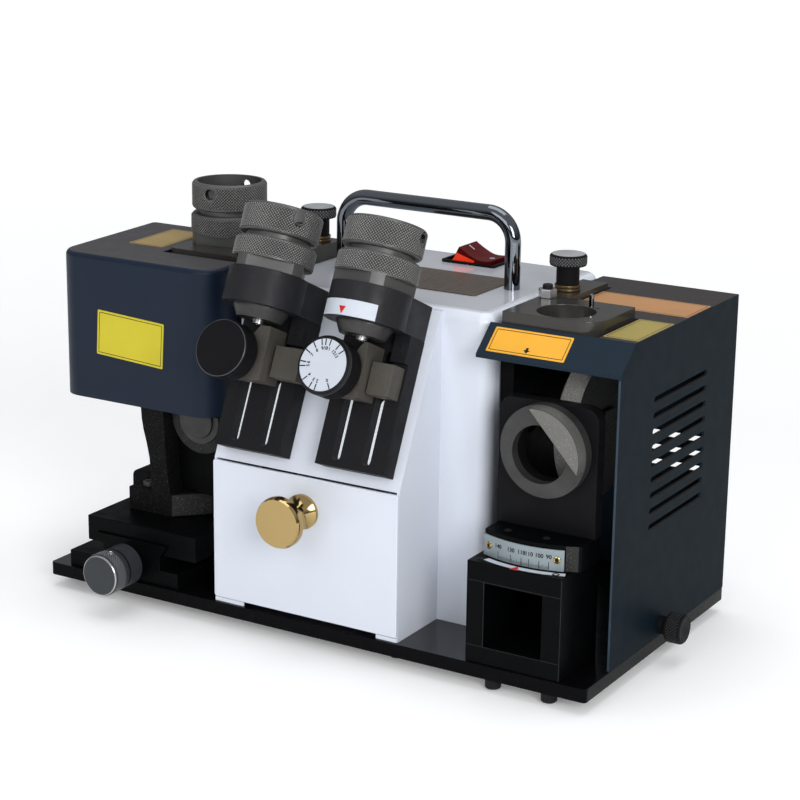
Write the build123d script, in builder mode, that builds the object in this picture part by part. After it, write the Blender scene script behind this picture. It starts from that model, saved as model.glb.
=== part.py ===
from build123d import *
from math import atan2, cos, radians, sin, sqrt, tan
import os

# Driving dimensions in millimetres.
# The origin is on the table, below the centre of the base plate.
# +X runs to the right along the front edge, +Y to the rear, +Z up.
flat_gap = 0.1
free_gap = 0.3
running_gap = 0.05

base_length = 450.0
base_depth = 229.0
base_thickness = 10.0
base_corner_radius = 3.0

foot_height = 9.0
foot_radius = 14.0
foot_tip_radius = 12.0
foot_inset_x = 40.0
foot_inset_y = 52.0

sheet_wall = 2.0
body_left = -92.0
body_right = 117.0
body_front = -58.0
body_rear = 111.5
body_height = 226.0
body_corner_radius = 10.0
body_top_radius = 8.0

cabinet_center_x = 3.0
cabinet_width = 153.0
cabinet_front = -111.5
panel_foot_height = 108.0
panel_head_drop = 2.0

drawer_front_thickness = 2.0
drawer_front_edge = 0.7
drawer_front_height = 103.1
drawer_front_lift = 3.8
drawer_side_gap = 2.5
drawer_depth = 142.0
drawer_tray_height = 60.0
drawer_tray_wall = 1.5
runner_height = 4.0
runner_width = 10.0
runner_lip_height = 16.0
runner_lip_thickness = 1.8
runner_length = 190.0
pull_height = 82.0
pull_disc_radius = 18.3
pull_length = 33.0
pull_base_radius = 12.5
pull_base_length = 2.6
pull_neck_radius = 6.5
pull_neck_length = 13.2
pull_rim_start = 27.0
pull_rim_end = 30.7
pull_crown_radius = 17.0

motor_axis_y = -17.5
motor_axis_z = 169.0
motor_radius = 38.0
motor_end_radius = 4.75
motor_left = -55.0
motor_right = 80.0
motor_foot_width = 100.0
motor_foot_depth = 56.0
shelf_height = 103.0
shelf_thickness = 4.0
shelf_depth = 60.0
shaft_radius = 8.0
shaft_opening_radius = 14.0
right_wheel_clearance = 18.0
right_wheel_inset = 53.7
right_wheel_width = 15.0
left_wheel_radius = 31.0
left_wheel_right = -125.0
left_wheel_width = 14.0
wheel_edge = 1.5
wheel_nut_across = 24.0
wheel_nut_height = 3.0
shaft_collar_radius = 13.0
shaft_collar_width = 4.0

handle_y = 20.5
handle_left = -49.5
handle_right = 91.0
handle_rod_radius = 5.7
handle_rise = 58.5
handle_bend_radius = 20.0

switch_x = 25.5
switch_y = 87.5
bezel_length = 45.0
bezel_width = 30.0
bezel_height = 2.0
bezel_rim = 2.0
bezel_skirt_wall = 1.0
bezel_skirt_depth = 12.0
rocker_tilt = 13.0
rocker_end_height = 6.5
rocker_dip = 3.5
rocker_length = 38.0
rocker_root_length = 34.0
rocker_depth = 9.0
rocker_side_gap = 0.5
rocker_pin_radius = 1.5
rocker_pivot_drop = 1.0

cover_left = 118.0
cover_front = -79.5
cover_rear = 116.5
cover_seat_drop = 8.0
cover_sheet = 2.0
lip_rise = 17.6
lip_run = 20.0
cover_bend_radius = 4.5
notch_right = 198.0
notch_middle = 3.5
notch_strip_right = 140.5
notch_rear = 80.5
vent_count = 9
vent_pitch = 11.25
vent_length = 89.0
vent_height = 4.5
vent_center_y = 18.0
vent_center_height = 131.0
rear_vent_count = 4
rear_vent_length = 64.0
rear_vent_center_height = 92.4
lug_length = 18.0
lug_width = 20.0
lug_height = 13.0
thumb_y = 3.0
thumb_height = 6.7
thumb_shank_radius = 3.0
thumb_shank_length = 14.0
thumb_head_radius = 10.5
thumb_head_length = 18.0
thumb_collar_radius = 6.5
thumb_collar_length = 4.5
thumb_flare_length = 6.3
knob_edge = 1.0

right_column_left = 119.0
right_column_thickness = 10.0
right_column_front = -45.0
right_column_rear = 75.0
seat_thickness = 12.0
right_seat_height = 230.0
right_seat_left = 125.0
right_seat_front = -57.0
right_seat_right = 195.0
right_seat_corner_radius = 16.0
right_strip_right = 139.5
right_strip_step = 3.5
right_strip_rear = 76.0
right_bore_x = 161.5
right_bore_y = -33.9
right_adjuster_x = 126.0
right_adjuster_y = 38.0

adjuster_washer_radius = 8.5
adjuster_washer_height = 4.6
adjuster_neck_radius = 8.2
adjuster_neck_height = 13.6
adjuster_head_radius = 12.9
adjuster_head_height = 8.0
adjuster_pin_radius = 4.0
adjuster_pin_length = 7.0

portal_inset = 56.0
portal_width = 71.0
portal_front = -113.0
portal_depth = 54.5
portal_height = 72.0
portal_opening_inset = 57.0
portal_opening_width = 44.0
portal_opening_bottom = 12.5
portal_opening_top = 57.5
pivot_inset = 53.5
pivot_y = -24.5
swivel_radius = 80.0
swivel_left_inset = 87.0
swivel_right_inset = 16.0
swivel_rear = -68.0
swivel_height = 18.0
tongue_radius = 59.0
tongue_width = 8.0
tongue_depth = 5.0
tongue_half_angle = 10.0
groove_half_angle = 26.0
arc_plate_thickness = 1.0
arc_plate_half_angle = 22.2
arc_plate_turn = -2.2
arc_plate_bottom = 0.4
arc_plate_height = 14.5
bracket_left_inset = 87.5
bracket_right_inset = 14.5
bracket_front = -79.5
bracket_thickness = 10.0
bracket_height = 89.0
bracket_corner_radius = 10.0
ring_height = 54.5
ring_radius = 31.8
ring_thickness = 8.0
ring_step = 11.2
ring_step_angle = 42.5
ring_chord_offset = 20.6
ring_eccentricity = 3.7

chuck_bore_radius = 20.0
chuck_flat_width = 46.0
chuck_flange_height = 7.5
chuck_ring_radius = 28.2
chuck_ring_height = 14.5
chuck_neck_radius = 22.5
chuck_neck_height = 3.8
chuck_spigot_radius = 20.0
chuck_spigot_height = 9.0
chuck_nose_length = 25.0
chuck_cone_length = 8.0
chuck_cone_radius = 16.0
chuck_cap_radius = 27.4
chuck_cap_height = 20.0
chuck_cap_floor = 6.0
chuck_cap_wall = 3.5
chuck_edge = 1.0
tommy_hole_radius = 4.1
first_chuck_turns = (29.7, -32.5)
second_chuck_turns = (-11.3, 8.4)
third_chuck_turns = (9.0, -87.0)
collet_radius = 7.0
collet_bore_radius = 3.0
collet_tip_radius = 4.0
collet_tip_length = 2.4
collet_head_radius = 10.0
collet_head_height = 3.0

fixture_pitch = 84.0
plate_width = 54.5
plate_bottom = 8.3
plate_top = 128.9
plate_thickness = 15.0
arm_bottom = 104.1
arm_reach = 37.0
arm_round_radius = 28.4
slot_spread = 24.0
slot_width = 7.0
slot_depth = 8.7
slot_bottom = 12.8
slot_top = 92.0
stop_left = -20.0
left_stop_right = 12.0
right_stop_right = 7.0
stop_bottom = 55.0
stop_top = 93.0
stop_shoulder = 85.0
stop_slope_left = -2.0
stop_slope_right = 3.5
stop_depth = 23.0
stop_key_length = 20.0
stop_key_depth = 8.0
left_rest_left = 14.0
left_rest_width = 22.0
right_rest_left = 8.2
right_rest_width = 17.5
rest_bottom = 59.5
rest_height = 22.5
rest_depth = 15.0
pad_width = 12.0
pad_height = 19.0
pad_depth = 5.0
clamp_height = 70.5
clamp_pin_radius = 5.0
clamp_pin_length = 11.0
clamp_hub_radius = 12.0
clamp_hub_height = 2.5
clamp_radius = 20.5
clamp_length = 16.5
clamp_edge = 1.2
dial_face_radius = 17.9
dial_face_thickness = 0.8

table_center_x = -150.0
table_left = -208.0
table_right = -108.0
table_front = -111.5
table_rear = 85.0
table_height = 12.0
dovetail_neck_half = 26.0
dovetail_neck_height = 10.5
dovetail_top_half = 32.0
dovetail_flare_height = 8.5
channel_half = 6.5
channel_floor = 8.0
channel_front_wall = 11.5
slide_left = -192.0
slide_right = -93.0
slide_front = -109.5
slide_rear = 25.0
slide_height = 19.2
feed_axis_height = 14.3
feed_screw_radius = 4.0
feed_screw_rear = 60.0
feed_collar_radius = 7.0
feed_collar_length = 5.7
feed_knob_radius = 15.5
feed_knob_length = 32.0
feed_knob_edge = 1.5
nut_front = -70.0
nut_length = 20.0
nut_half = 5.0

casting_foot_left = -175.0
casting_foot_right = -113.0
casting_foot_front = -81.5
casting_foot_rear = 15.0
casting_foot_height = 18.0
casting_chamfer = 25.0
wall_left = -161.0
wall_waist = -157.0
wall_right = -143.0
wall_flare = 9.0
wall_waist_height = 31.0
wall_depth = 48.0
ledge_right = -115.0
ledge_rear = -25.5
ledge_height = 13.0
arm_left = -166.0
arm_right = -158.0
arm_rear = 15.0
web_right = -100.0
web_rear = -58.0
web_thickness = 8.0
web_rise = 4.0
boss_x = -115.0
boss_drop = 9.3
boss_radius = 23.0
boss_length = 6.0
boss_cap_radius = 17.0
boss_cap_length = 4.0
boss_cap_edge = 1.5

left_cover_left = -235.5
left_cover_right = -95.0
left_cover_front = -84.5
left_cover_rear = 33.5
left_cover_drop = 101.7
left_cover_front_rise = 8.0
left_cover_rear_rise = 10.8
left_cover_wall = 2.5
left_cover_left_radius = 17.0
left_cover_right_radius = 18.0
left_cover_rear_radius = 6.0
left_cover_top_radius = 4.0
seat_notch_gap = 2.5
shaft_slot_half = 16.0

left_seat_bore_x = -136.3
left_seat_bore_y = -2.5
left_seat_left = -161.0
left_seat_right = -69.0
left_seat_front = -47.5
left_seat_back = 29.5
left_seat_corner_radius = 8.0
left_seat_tail_left = -100.0
left_seat_rear = 50.0
left_adjuster_x = -82.0
left_adjuster_y = 35.5

gland_x = 85.0
gland_height = 30.0
gland_radius = 10.0
gland_length = 14.0
gland_bore_radius = 4.0
gland_hole_radius = 6.0
gland_taper = 12.0

# Places that follow from the driving dimensions
base_top = foot_height + base_thickness
body_top = base_top + body_height
cabinet_left = cabinet_center_x - cabinet_width / 2
panel_foot = base_top + panel_foot_height
panel_head = body_top - panel_head_drop
panel_tilt = atan2(body_front - cabinet_front, body_top - panel_foot)
slope_up = Vector(0, sin(panel_tilt), cos(panel_tilt))
slope_out = Vector(0, -cos(panel_tilt), sin(panel_tilt))
swivel_bottom = base_top + portal_height + free_gap
swivel_top = swivel_bottom + swivel_height
right_seat_top = base_top + right_seat_height
right_seat_bottom = right_seat_top - seat_thickness
right_wheel_radius = right_seat_bottom - motor_axis_z - right_wheel_clearance
slide_bottom = base_top + table_height + dovetail_neck_height + free_gap
slide_top = slide_bottom + slide_height
casting_top = body_top + free_gap
left_seat_top = casting_top + seat_thickness
feed_axis_z = base_top + feed_axis_height
chuck_nose_radius = chuck_bore_radius - running_gap
cover_top = right_seat_top - cover_seat_drop
cover_right = base_length / 2
right_wheel_left = cover_right - right_wheel_inset
portal_center_x = cover_right - portal_inset
portal_opening_center_x = cover_right - portal_opening_inset
pivot_x = cover_right - pivot_inset
swivel_left = cover_right - swivel_left_inset
swivel_right = cover_right - swivel_right_inset
bracket_left = cover_right - bracket_left_inset
bracket_right = cover_right - bracket_right_inset
left_cover_bottom = body_top - left_cover_drop
left_cover_front_top = body_top + left_cover_front_rise
left_cover_rear_top = body_top + left_cover_rear_rise


def keep(builder, name):
    builder.part.label = name
    export_step(builder.part, f"parts/{name}.step")


def block(x_span, y_span, z_span, mode=Mode.ADD):
    spans = (x_span, y_span, z_span)
    with Locations([tuple(sum(span) / 2 for span in spans)]):
        Box(*(span[1] - span[0] for span in spans), mode=mode)


def turning_plane(origin, direction, across=(1, 0, 0)):
    """The plane through an axis, with its X across the axis and its Y along it."""
    return Plane(origin=origin, x_dir=across, z_dir=Vector(*across).cross(Vector(*direction)))


def turned(plane, outline):
    """Turn an outline of (radius, height) points about the plane's own Y axis."""
    with BuildSketch(plane) as profile:
        with BuildLine():
            Polyline(*outline, close=True)
        make_face()
    revolve(profile.sketch, axis=Axis(plane.origin, plane.y_dir))


os.makedirs("parts", exist_ok=True)

# Base plate
with BuildPart() as base_plate:
    with BuildSketch(Plane.XY.offset(foot_height)):
        RectangleRounded(base_length, base_depth, base_corner_radius)
    extrude(amount=base_thickness)
keep(base_plate, "base_plate")

# Rubber feet
with BuildPart() as rubber_feet:
    with GridLocations(base_length - 2 * foot_inset_x, base_depth - 2 * foot_inset_y, 2, 2):
        Cone(foot_tip_radius, foot_radius, foot_height, align=(Align.CENTER, Align.CENTER, Align.MIN))
keep(rubber_feet, "rubber_feet")

# Housing: a sheet body with the slanted front cabinet
body_center = ((body_left + body_right) / 2, (body_front + body_rear) / 2)
body_size = (body_right - body_left, body_rear - body_front)
cabinet_back = body_front + sheet_wall
cabinet_cut_back = cabinet_back + sheet_wall
panel_head_y = body_front - (body_top - panel_head) * tan(panel_tilt)
panel_wall_run = sheet_wall / cos(panel_tilt)
inner_head = panel_head - sheet_wall
inner_head_y = body_front - (body_top - inner_head) * tan(panel_tilt) + panel_wall_run
bezel_hole_length = bezel_length - 2 * bezel_rim + 2 * bezel_skirt_wall
bezel_hole_width = bezel_width - 2 * bezel_rim + 2 * bezel_skirt_wall
with BuildPart() as housing:
    with BuildSketch(Plane.XY.offset(base_top)):
        with Locations(body_center):
            RectangleRounded(*body_size, body_corner_radius)
    extrude(amount=body_height)
    fillet(housing.edges().group_by(Axis.Z)[-1], body_top_radius)
    offset(amount=-sheet_wall, openings=housing.faces().sort_by(Axis.Z)[0])
    with BuildSketch(Plane.YZ.offset(cabinet_left)):
        with BuildLine():
            Polyline(
                (cabinet_front, base_top),
                (cabinet_front, panel_foot),
                (panel_head_y, panel_head),
                (cabinet_back, panel_head),
                (cabinet_back, base_top),
                close=True,
            )
        make_face()
    extrude(amount=cabinet_width)
    with BuildSketch(Plane.YZ.offset(cabinet_left + sheet_wall)):
        with BuildLine():
            Polyline(
                (cabinet_front, base_top),
                (cabinet_front, panel_foot),
                (cabinet_front + panel_wall_run, panel_foot),
                (inner_head_y, inner_head),
                (cabinet_cut_back, inner_head),
                (cabinet_cut_back, base_top),
                close=True,
            )
        make_face()
    extrude(amount=cabinet_width - 2 * sheet_wall, mode=Mode.SUBTRACT)
    with BuildSketch(Plane.YZ.offset(body_left)):
        with Locations((motor_axis_y, motor_axis_z)):
            Circle(shaft_opening_radius)
    extrude(amount=body_right - body_left, mode=Mode.SUBTRACT)
    with BuildSketch(Plane.XY.offset(body_top)):
        with Locations((switch_x, switch_y)):
            Rectangle(bezel_hole_length + 2 * flat_gap, bezel_hole_width + 2 * flat_gap)
    extrude(amount=-2 * sheet_wall, mode=Mode.SUBTRACT)
    with BuildSketch(Plane.XZ.offset(-body_rear)):
        with Locations((gland_x, base_top + gland_height)):
            Circle(gland_hole_radius)
    extrude(amount=2 * sheet_wall, mode=Mode.SUBTRACT)
keep(housing, "housing")

# Cable gland on the rear wall
gland_axis_plane = Plane(
    origin=(gland_x, body_rear, base_top + gland_height), x_dir=(1, 0, 0), z_dir=(0, 1, 0)
)
with BuildPart() as cable_gland:
    with BuildSketch(gland_axis_plane):
        RegularPolygon(gland_radius, 6)
    extrude(amount=gland_length / 2)
    with BuildSketch(gland_axis_plane.offset(gland_length / 2)):
        Circle(gland_radius * cos(radians(30)))
    extrude(amount=gland_length / 2, taper=gland_taper)
    with BuildSketch(gland_axis_plane):
        Circle(gland_bore_radius)
    extrude(amount=gland_length, mode=Mode.SUBTRACT)
keep(cable_gland, "cable_gland")

# Drawer runners on the base
tray_half = cabinet_width / 2 - sheet_wall - drawer_side_gap
runner_front = cabinet_front + sheet_wall
with BuildPart() as drawer_runners:
    for side in (-1, 1):
        edge = cabinet_center_x + side * tray_half
        lip = edge + side * free_gap
        block(
            sorted((edge - side * runner_width, lip + side * runner_lip_thickness)),
            (runner_front, runner_front + runner_length),
            (base_top, base_top + runner_height),
        )
        block(
            sorted((lip, lip + side * runner_lip_thickness)),
            (runner_front, runner_front + runner_length),
            (base_top, base_top + runner_lip_height),
        )
keep(drawer_runners, "drawer_runners")

# Drawer front, tray and brass pull
drawer_back_face = cabinet_front - free_gap
drawer_face = drawer_back_face - drawer_front_thickness
drawer_bottom = base_top + drawer_front_lift
tray_bottom = base_top + runner_height + flat_gap
with BuildPart() as drawer_front:
    with BuildSketch(Plane.XZ.offset(-drawer_back_face)):
        with Locations((cabinet_center_x, drawer_bottom + drawer_front_height / 2)):
            RectangleRounded(cabinet_width, drawer_front_height, sheet_wall)
    extrude(amount=drawer_front_thickness)
    fillet(drawer_front.faces().sort_by(Axis.Y)[0].edges(), drawer_front_edge)
keep(drawer_front, "drawer_front")

with BuildPart() as drawer_tray:
    block(
        (cabinet_center_x - tray_half, cabinet_center_x + tray_half),
        (drawer_back_face, drawer_back_face + drawer_depth),
        (tray_bottom, tray_bottom + drawer_tray_height),
    )
    offset(amount=-drawer_tray_wall, openings=drawer_tray.faces().sort_by(Axis.Z)[-1])
keep(drawer_tray, "drawer_tray")

pull_origin = (cabinet_center_x, drawer_face, base_top + pull_height)
pull_axis = (0, -1, 0)
with BuildPart() as drawer_pull:
    with BuildSketch(turning_plane(pull_origin, pull_axis)):
        with BuildLine():
            Polyline((0, pull_length), (0, 0), (pull_base_radius, 0))
            Line((pull_base_radius, 0), (pull_base_radius, pull_base_length))
            Spline(
                (pull_base_radius, pull_base_length),
                (pull_neck_radius, pull_neck_length),
                (pull_disc_radius, pull_rim_start),
            )
            Line((pull_disc_radius, pull_rim_start), (pull_disc_radius, pull_rim_end))
            Line((pull_disc_radius, pull_rim_end), (pull_crown_radius, pull_length))
            Line((pull_crown_radius, pull_length), (0, pull_length))
        make_face()
    revolve(axis=Axis(pull_origin, pull_axis))
keep(drawer_pull, "drawer_pull")

# Shelf that carries the motor above the drawer
shelf_top = base_top + shelf_height
with BuildPart() as motor_shelf:
    with BuildSketch(Plane.XZ.offset(-(motor_axis_y + shelf_depth / 2))):
        with BuildLine():
            Polyline(
                (body_left + sheet_wall, base_top),
                (body_left + sheet_wall, shelf_top),
                (body_right - sheet_wall, shelf_top),
                (body_right - sheet_wall, base_top),
                (body_right - sheet_wall - shelf_thickness, base_top),
                (body_right - sheet_wall - shelf_thickness, shelf_top - shelf_thickness),
                (body_left + sheet_wall + shelf_thickness, shelf_top - shelf_thickness),
                (body_left + sheet_wall + shelf_thickness, base_top),
                close=True,
            )
        make_face()
    extrude(amount=shelf_depth)
keep(motor_shelf, "motor_shelf")

# Motor with its foot
motor_center_x = (motor_left + motor_right) / 2
with BuildPart() as motor_body:
    with BuildSketch(Plane.YZ.offset(motor_left)):
        with Locations((motor_axis_y, motor_axis_z)):
            Circle(motor_radius)
    extrude(amount=motor_right - motor_left)
    fillet(motor_body.edges().filter_by(GeomType.CIRCLE), motor_end_radius)
    block(
        (motor_center_x - motor_foot_width / 2, motor_center_x + motor_foot_width / 2),
        (motor_axis_y - motor_foot_depth / 2, motor_axis_y + motor_foot_depth / 2),
        (shelf_top, motor_axis_z),
    )
    with BuildSketch(Plane.YZ.offset(motor_left)):
        with Locations((motor_axis_y, motor_axis_z)):
            Circle(shaft_radius + running_gap)
    extrude(amount=motor_right - motor_left, mode=Mode.SUBTRACT)
keep(motor_body, "motor_body")

# Spindle with both grinding wheels
left_wheel_left = left_wheel_right - left_wheel_width
right_wheel_right = right_wheel_left + right_wheel_width
shaft_left = left_wheel_left - wheel_nut_height
shaft_right = right_wheel_right + wheel_nut_height


def shaft_plane(x):
    return Plane(origin=(x, motor_axis_y, motor_axis_z), x_dir=(0, 1, 0), z_dir=(1, 0, 0))


with BuildPart() as spindle_shaft:
    with BuildSketch(shaft_plane(shaft_left)):
        Circle(shaft_radius)
    extrude(amount=shaft_right - shaft_left)
    for collar_left in (left_wheel_right, right_wheel_left - shaft_collar_width):
        with BuildSketch(shaft_plane(collar_left)):
            Circle(shaft_collar_radius)
        extrude(amount=shaft_collar_width)
keep(spindle_shaft, "spindle_shaft")

wheels = {
    "left_wheel": (left_wheel_left, left_wheel_width, left_wheel_radius),
    "right_wheel": (right_wheel_left, right_wheel_width, right_wheel_radius),
}
for wheel_name, (wheel_left, wheel_width, wheel_radius) in wheels.items():
    with BuildPart() as wheel:
        with BuildSketch(shaft_plane(wheel_left)):
            Circle(wheel_radius)
            Circle(shaft_radius + running_gap, mode=Mode.SUBTRACT)
        extrude(amount=wheel_width)
        chamfer(wheel.edges().filter_by(GeomType.CIRCLE).sort_by(SortBy.RADIUS)[-2:], wheel_edge)
    keep(wheel, wheel_name)

with BuildPart() as wheel_nuts:
    for nut_left in (shaft_left, right_wheel_right):
        with BuildSketch(shaft_plane(nut_left)):
            RegularPolygon(wheel_nut_across / 2, 6, major_radius=False)
            Circle(shaft_radius + running_gap, mode=Mode.SUBTRACT)
        extrude(amount=wheel_nut_height)
keep(wheel_nuts, "wheel_nuts")

# Carrying handle
handle_top = body_top + handle_rise - handle_rod_radius
with BuildPart() as carry_handle:
    with BuildLine() as handle_path:
        FilletPolyline(
            (handle_left, handle_y, body_top),
            (handle_left, handle_y, handle_top),
            (handle_right, handle_y, handle_top),
            (handle_right, handle_y, body_top),
            radius=handle_bend_radius,
        )
    with BuildSketch(Plane.XY.offset(body_top)):
        with Locations((handle_left, handle_y)):
            Circle(handle_rod_radius)
    sweep(path=handle_path.wires()[0])
keep(carry_handle, "carry_handle")

# Mains switch: bezel and rocker
rocker_pivot_z = body_top - rocker_pivot_drop
bezel_inner = (bezel_length - 2 * bezel_rim, bezel_width - 2 * bezel_rim)
rocker_width = bezel_inner[1] - 2 * rocker_side_gap
pin_plane = Plane(origin=(switch_x, switch_y, rocker_pivot_z), x_dir=(1, 0, 0), z_dir=(0, -1, 0))
pin_half = rocker_width / 2 + rocker_side_gap + bezel_skirt_wall
with BuildPart() as switch_bezel:
    with BuildSketch(Plane.XY.offset(body_top)):
        with Locations((switch_x, switch_y)):
            RectangleRounded(bezel_length, bezel_width, bezel_rim)
    extrude(amount=bezel_height)
    with BuildSketch(Plane.XY.offset(body_top)):
        with Locations((switch_x, switch_y)):
            Rectangle(bezel_hole_length, bezel_hole_width)
    extrude(amount=-bezel_skirt_depth)
    with BuildSketch(Plane.XY.offset(body_top + bezel_height)):
        with Locations((switch_x, switch_y)):
            Rectangle(*bezel_inner)
    extrude(amount=-(bezel_height + bezel_skirt_depth), mode=Mode.SUBTRACT)
    with BuildSketch(pin_plane):
        Circle(rocker_pin_radius + running_gap)
    extrude(amount=bezel_width, both=True, mode=Mode.SUBTRACT)
keep(switch_bezel, "switch_bezel")

tilt = radians(rocker_tilt)
rocker_plane = Plane(
    origin=(switch_x, switch_y, rocker_pivot_z), x_dir=(cos(tilt), 0, -sin(tilt)), z_dir=(0, -1, 0)
)
with BuildPart() as switch_rocker:
    with BuildSketch(rocker_plane):
        with BuildLine():
            ThreePointArc(
                (-rocker_length / 2, rocker_end_height),
                (0, rocker_dip),
                (rocker_length / 2, rocker_end_height),
            )
            Polyline(
                (rocker_length / 2, rocker_end_height),
                (rocker_root_length / 2, -rocker_depth),
                (-rocker_root_length / 2, -rocker_depth),
                (-rocker_length / 2, rocker_end_height),
            )
        make_face()
    extrude(amount=rocker_width / 2, both=True)
    with BuildSketch(pin_plane):
        Circle(rocker_pin_radius)
    extrude(amount=pin_half, both=True)
keep(switch_rocker, "switch_rocker")

# Right wheel cover: bent sheet, open to the front and to the left
lip_angle = atan2(lip_rise, lip_run)
lip_bottom = cover_top - lip_rise
lip_top_y = cover_front + lip_run
lip_wall_drop = cover_sheet / cos(lip_angle)
inner_lip_y = lip_top_y + cover_sheet * tan(lip_angle / 2)
inner_top = cover_top - cover_sheet
inner_rear = cover_rear - cover_sheet
inner_right = cover_right - cover_sheet
vent_base = base_top + vent_center_height
thumb_axis_z = base_top + thumb_height
with BuildPart() as right_cover:
    with BuildSketch(Plane.YZ.offset(cover_left)):
        with BuildLine():
            Polyline(
                (cover_front, base_top),
                (cover_front, lip_bottom),
                (lip_top_y, cover_top),
                (cover_rear, cover_top),
                (cover_rear, base_top),
                close=True,
            )
        make_face()
    extrude(amount=cover_right - cover_left)
    rear_edges = right_cover.faces().sort_by(Axis.Y)[-1].edges()
    bends = [rear_edges.sort_by(Axis.X)[-1], rear_edges.sort_by(Axis.Z)[-1]]
    fillet(bends, cover_bend_radius)
    with BuildSketch(Plane.YZ.offset(cover_left)):
        with BuildLine():
            Polyline(
                (cover_front, base_top),
                (cover_front, lip_bottom - lip_wall_drop),
                (inner_lip_y, inner_top),
                (inner_rear, inner_top),
                (inner_rear, base_top),
                close=True,
            )
        make_face()
    extrude(amount=inner_right - cover_left, mode=Mode.SUBTRACT)
    block((cover_left, notch_right), (lip_top_y, notch_middle), (inner_top, cover_top), Mode.SUBTRACT)
    block((cover_left, notch_strip_right), (notch_middle, notch_rear), (inner_top, cover_top), Mode.SUBTRACT)
    with BuildSketch(Plane.YZ.offset(inner_right)):
        with Locations((vent_center_y, vent_base)):
            with GridLocations(0, vent_pitch, 1, vent_count):
                SlotOverall(vent_length, vent_height)
    extrude(amount=cover_sheet, mode=Mode.SUBTRACT)
    with BuildSketch(Plane.XZ.offset(-cover_rear)):
        with Locations(((cover_left + cover_right) / 2, base_top + rear_vent_center_height)):
            with GridLocations(0, vent_pitch, 1, rear_vent_count):
                SlotOverall(rear_vent_length, vent_height)
    extrude(amount=cover_sheet, mode=Mode.SUBTRACT)
    with BuildSketch(Plane.YZ.offset(inner_right)):
        with Locations((thumb_y, thumb_axis_z)):
            Circle(thumb_shank_radius + free_gap)
    extrude(amount=cover_sheet, mode=Mode.SUBTRACT)
keep(right_cover, "right_cover")

# Lug on the base that takes the cover's screw
lug_right = inner_right - free_gap
lug_span_y = (thumb_y - lug_width / 2, thumb_y + lug_width / 2)
with BuildPart() as cover_lug:
    block((lug_right - lug_length, lug_right), lug_span_y, (base_top, base_top + lug_height))
    with BuildSketch(Plane.YZ.offset(lug_right - lug_length)):
        with Locations((thumb_y, thumb_axis_z)):
            Circle(thumb_shank_radius + running_gap)
    extrude(amount=lug_length, mode=Mode.SUBTRACT)
keep(cover_lug, "cover_lug")

thumb_origin = (cover_right + flat_gap, thumb_y, thumb_axis_z)
with BuildPart() as cover_thumbscrew:
    turned(
        turning_plane(thumb_origin, (1, 0, 0), (0, 1, 0)),
        [
            (0, -thumb_shank_length),
            (thumb_shank_radius, -thumb_shank_length),
            (thumb_shank_radius, 0),
            (thumb_collar_radius, 0),
            (thumb_collar_radius, thumb_collar_length),
            (thumb_head_radius, thumb_flare_length),
            (thumb_head_radius, thumb_head_length - knob_edge),
            (thumb_head_radius - knob_edge, thumb_head_length),
            (0, thumb_head_length),
        ],
    )
keep(cover_thumbscrew, "cover_thumbscrew")

# Right seat: column plate and L-shaped seat with its chuck bore
right_column_right = right_column_left + right_column_thickness
right_strip_top = right_seat_top - right_strip_step
right_seat_back = notch_middle - free_gap
with BuildPart() as right_column:
    block(
        (right_column_left, right_column_right),
        (right_column_front, right_column_rear),
        (base_top, right_seat_bottom),
    )
    with BuildSketch(Plane.YZ.offset(right_column_left)):
        with Locations((motor_axis_y, motor_axis_z)):
            Circle(shaft_opening_radius)
    extrude(amount=right_column_thickness, mode=Mode.SUBTRACT)
keep(right_column, "right_column")

with BuildPart() as right_seat:
    with BuildSketch(Plane.XY.offset(right_seat_bottom)) as right_seat_outline:
        with BuildLine():
            Polyline(
                (right_seat_left, right_seat_front),
                (right_seat_right, right_seat_front),
                (right_seat_right, right_seat_back),
                (right_strip_right, right_seat_back),
                (right_strip_right, right_strip_rear),
                (right_column_left, right_strip_rear),
                (right_column_left, right_seat_back),
                (right_seat_left, right_seat_back),
                close=True,
            )
        make_face()
        front_corners = right_seat_outline.vertices().group_by(Axis.Y)[0]
        fillet(front_corners.sort_by(Axis.X)[-1], right_seat_corner_radius)
        with Locations((right_bore_x, right_bore_y)):
            Circle(chuck_bore_radius, mode=Mode.SUBTRACT)
    extrude(amount=seat_thickness)
    block(
        (right_column_left, right_strip_right),
        (right_seat_back, right_strip_rear),
        (right_strip_top, right_seat_top),
        Mode.SUBTRACT,
    )
    with BuildSketch(Plane.XY.offset(right_strip_top)):
        with Locations((right_adjuster_x, right_adjuster_y)):
            Circle(adjuster_pin_radius + running_gap)
    extrude(amount=-(adjuster_pin_length + flat_gap), mode=Mode.SUBTRACT)
keep(right_seat, "right_seat")


def adjuster(x, y, z, name):
    """Knurled adjusting knob on its washer, with a pin in the seat."""
    head_bottom = adjuster_washer_height + adjuster_neck_height
    head_top = head_bottom + adjuster_head_height
    origin = (x, y, z + flat_gap)
    with BuildPart() as knob:
        turned(
            turning_plane(origin, (0, 0, 1)),
            [
                (0, -adjuster_pin_length),
                (adjuster_pin_radius, -adjuster_pin_length),
                (adjuster_pin_radius, 0),
                (adjuster_washer_radius, 0),
                (adjuster_washer_radius, adjuster_washer_height),
                (adjuster_neck_radius, adjuster_washer_height),
                (adjuster_neck_radius, head_bottom),
                (adjuster_head_radius, head_bottom),
                (adjuster_head_radius, head_top - knob_edge),
                (adjuster_head_radius - knob_edge, head_top),
                (0, head_top),
            ],
        )
    keep(knob, name)


adjuster(right_adjuster_x, right_adjuster_y, right_strip_top, "right_adjuster")

# Swivel station: portal, block on an arc guide, bracket, ring and angle scale
portal_top = base_top + portal_height


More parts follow.
